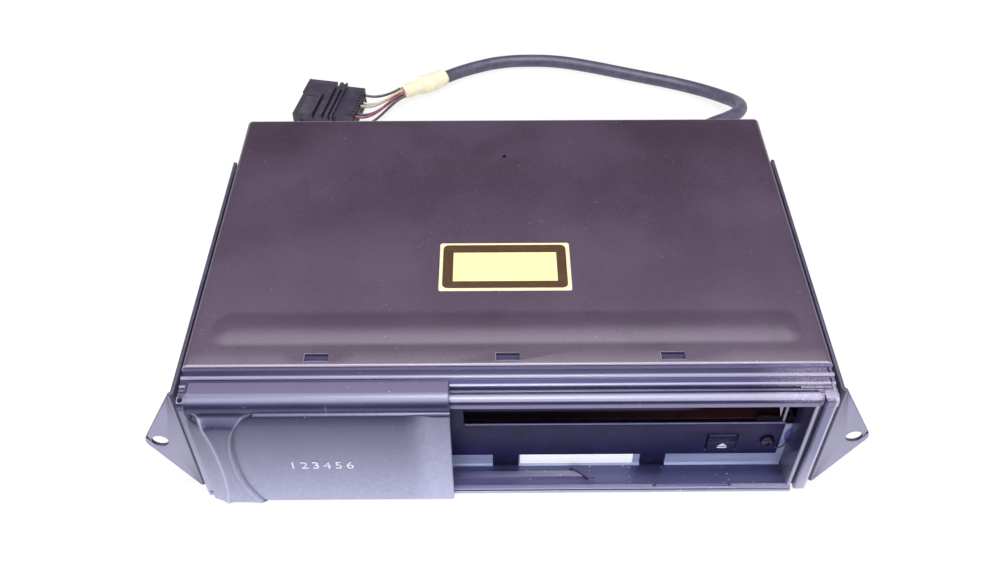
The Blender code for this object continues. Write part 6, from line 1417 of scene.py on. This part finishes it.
def make_eject_symbol():
    """A plain triangle over a bar, printed on the button."""
    x, z = BUTTON
    left, right, front, back = x - 1.6, x + 2.4, 11.22, 11.34
    triangle = drawn("symbol", [(left, z - 3.2), (right, z - 3.2), (x + 0.4, z - 1.1)], "Y", front, back)
    outline = [(left, z - 4.5), (right, z - 4.5), (right, z - 3.8), (left, z - 3.8)]
    bar = drawn("symbol_bar", outline, "Y", front, back)
    settle(together("eject_symbol", triangle, bar), "eject_button", "black_moulding", PRINT_PALE)


def make_panel_screw():
    """A pan-head screw with a cross recess."""
    x, z = PANEL_SCREW
    head = [
        (0, -5), (1.5, -5), (1.5, 0), (3.0, 0), (3.0, 0.8), (2.7, 1.25), (1.8, 1.7), (0.8, 1.8), (0, 1.8),
    ]
    screw = spun("panel_screw_head", head, (x, 11.7, z), -1)
    half, arm = 0.35, 1.7
    carved(
        screw,
        block("cross", (x - arm, 9, z - half), (x + arm, 10.9, z + half)),
        block("cross", (x - half, 9, z - arm), (x + half, 10.9, z + arm)),
    )
    settle(screw, "case", "bright_steel", SCREW_STEEL, "panel_screw")


make_panel()
make_felt_seals()
make_button()
make_eject_symbol()
make_panel_screw()


def make_bay_trim():
    """What shows beside and under the panel: the flange's toes and its notches' tabs, a post with a gusset,
    a loop of film and a stray wire."""
    foot = [(14.2, 0.5), (14.2, 2.4), (13.4, 2.4), *arc((12.35, 2.2), 1.05, 0, -90, 6), (12.35, 0.5)]
    ends = [-26.0, *FLANGE_NOTCHES[0], *FLANGE_NOTCHES[1], 117.9]
    toes = [drawn("flange_toe", foot, "X", *toe) for toe in zip(ends[::2], ends[1::2])]
    settle(rounded(together("flange_toes", *toes), 0.1, 2), "case", "zinc_steel", ZINC)
    tabs = [block("notch_tab", (left, 13.28, 0.35), (right, 14.3, 10.2)) for left, right in FLANGE_NOTCHES]
    settle(rounded(together("notch_tabs", *tabs), 0.1, 2), "case", "dark_moulding", BUTTON_ABS)
    post_plate = rounded(block("bay_post", (113.1, 13.0, 31.4), (114.5, 13.8, 56.9)), 0.35, 3)
    gusset = drawn("bay_gusset", [(106.9, 56.6), (112.2, 56.6), (112.2, 33.6)], "Y", 13.5, 14.0)
    frame_corner = rounded(together("bay_post_gusset", post_plate, gusset), 0.1, 2)
    settle(frame_corner, "case", "zinc_steel", BRACKET_STEEL)
    lens = [*arc((112.9, 21.2), 8.6, -46, 46, 10), *arc((124.9, 21.2), 8.6, 134, 226, 10)[1:-1]]
    loop = rounded(drawn("film_loop", lens, "Y", 12.7, 13.0), 0.1, 2, 50)
    settle(loop, "case", "dark_moulding", LOOP_FILM)
    points = [
        (112.6, 11.7, 15.3), (114.4, 11.3, 15.2), (116.2, 11.4, 16.3), (117.6, 12.4, 18.6),
        (118.2, 13.2, 20.6),
    ]
    settle(as_mesh(string("stray_wire", points, 0.32)), "case", "dark_moulding", RUBBER)


make_bay_trim()


def film_sheet(name, low, high, radius, bottom, top):
    """A sheet of film with round corners, lying on the cover between two heights above it."""
    (x0, y0), (x1, y1) = low, high
    corners = (
        (x1 - radius, y1 - radius, 0), (x0 + radius, y1 - radius, 90), (x0 + radius, y0 + radius, 180),
        (x1 - radius, y0 + radius, 270),
    )
    outline = [point for x, y, turn in corners for point in arc((x, y), radius, turn, turn + 90, 4)]
    return drawn(name, outline, "Z", TOP + bottom, TOP + top)


def make_labels():
    """A yellow film label with a dark band on the cover, and a white strip on the chassis, both blank."""
    border = film_sheet("label_border", (-28.5, 56.2), (27.5, 84.8), 1.0, 0.01, 0.09)
    settle(border, "case", "black_steel", LABEL_EDGE)
    dark_band = film_sheet("label_band", (-27.1, 57.8), (25.9, 83.6), 2.4, 0.05, 0.12)
    settle(dark_band, "case", "black_steel", LABEL_BLACK)
    field = film_sheet("label_field", (-22.6, 61.8), (21.7, 78.9), 0.2, 0.1, 0.16)
    settle(field, "case", "black_steel", LABEL_YELLOW)
    foot = [*arc((7.2, 2.3), 1.6, 180, 270, 4), *arc((52.4, 2.3), 1.6, 270, 360, 4)]
    strip = [*foot, (54.0, 9.8), (5.6, 9.8)]
    settle(drawn("label_strip", strip, "Y", 13.25, 13.36), "case", "zinc_steel", LABEL_WHITE)


make_labels()


# CAD nodes that stay, with better finishes


def dress(material, *names):
    """Gives CAD nodes that stay a better finish."""
    for name in names:
        for slot in frame["nodes"][name].material_slots:
            slot.material = material


dress(ZINC, "base_pan", "loader_chassis")
dress(CAGE_STEEL, "magazine_cage")
dress(SHADED_ZINC, "elevator_plate", "clamp_arm", "ramp_slide_left", "ramp_slide_right")
dress(DUSTY, "motor_cradle")
dress(STEEL, "guide_rod", "lead_screw", "clamp_pin", "lever_pin")
dress(STEEL, "spindle_motor", "sled_motor", "lift_motor")
bracket_screws = [f"bracket_screw_{side}_{end}" for side in ("left", "right") for end in ("front", "rear")]
dress(SCREW_STEEL, *bracket_screws)
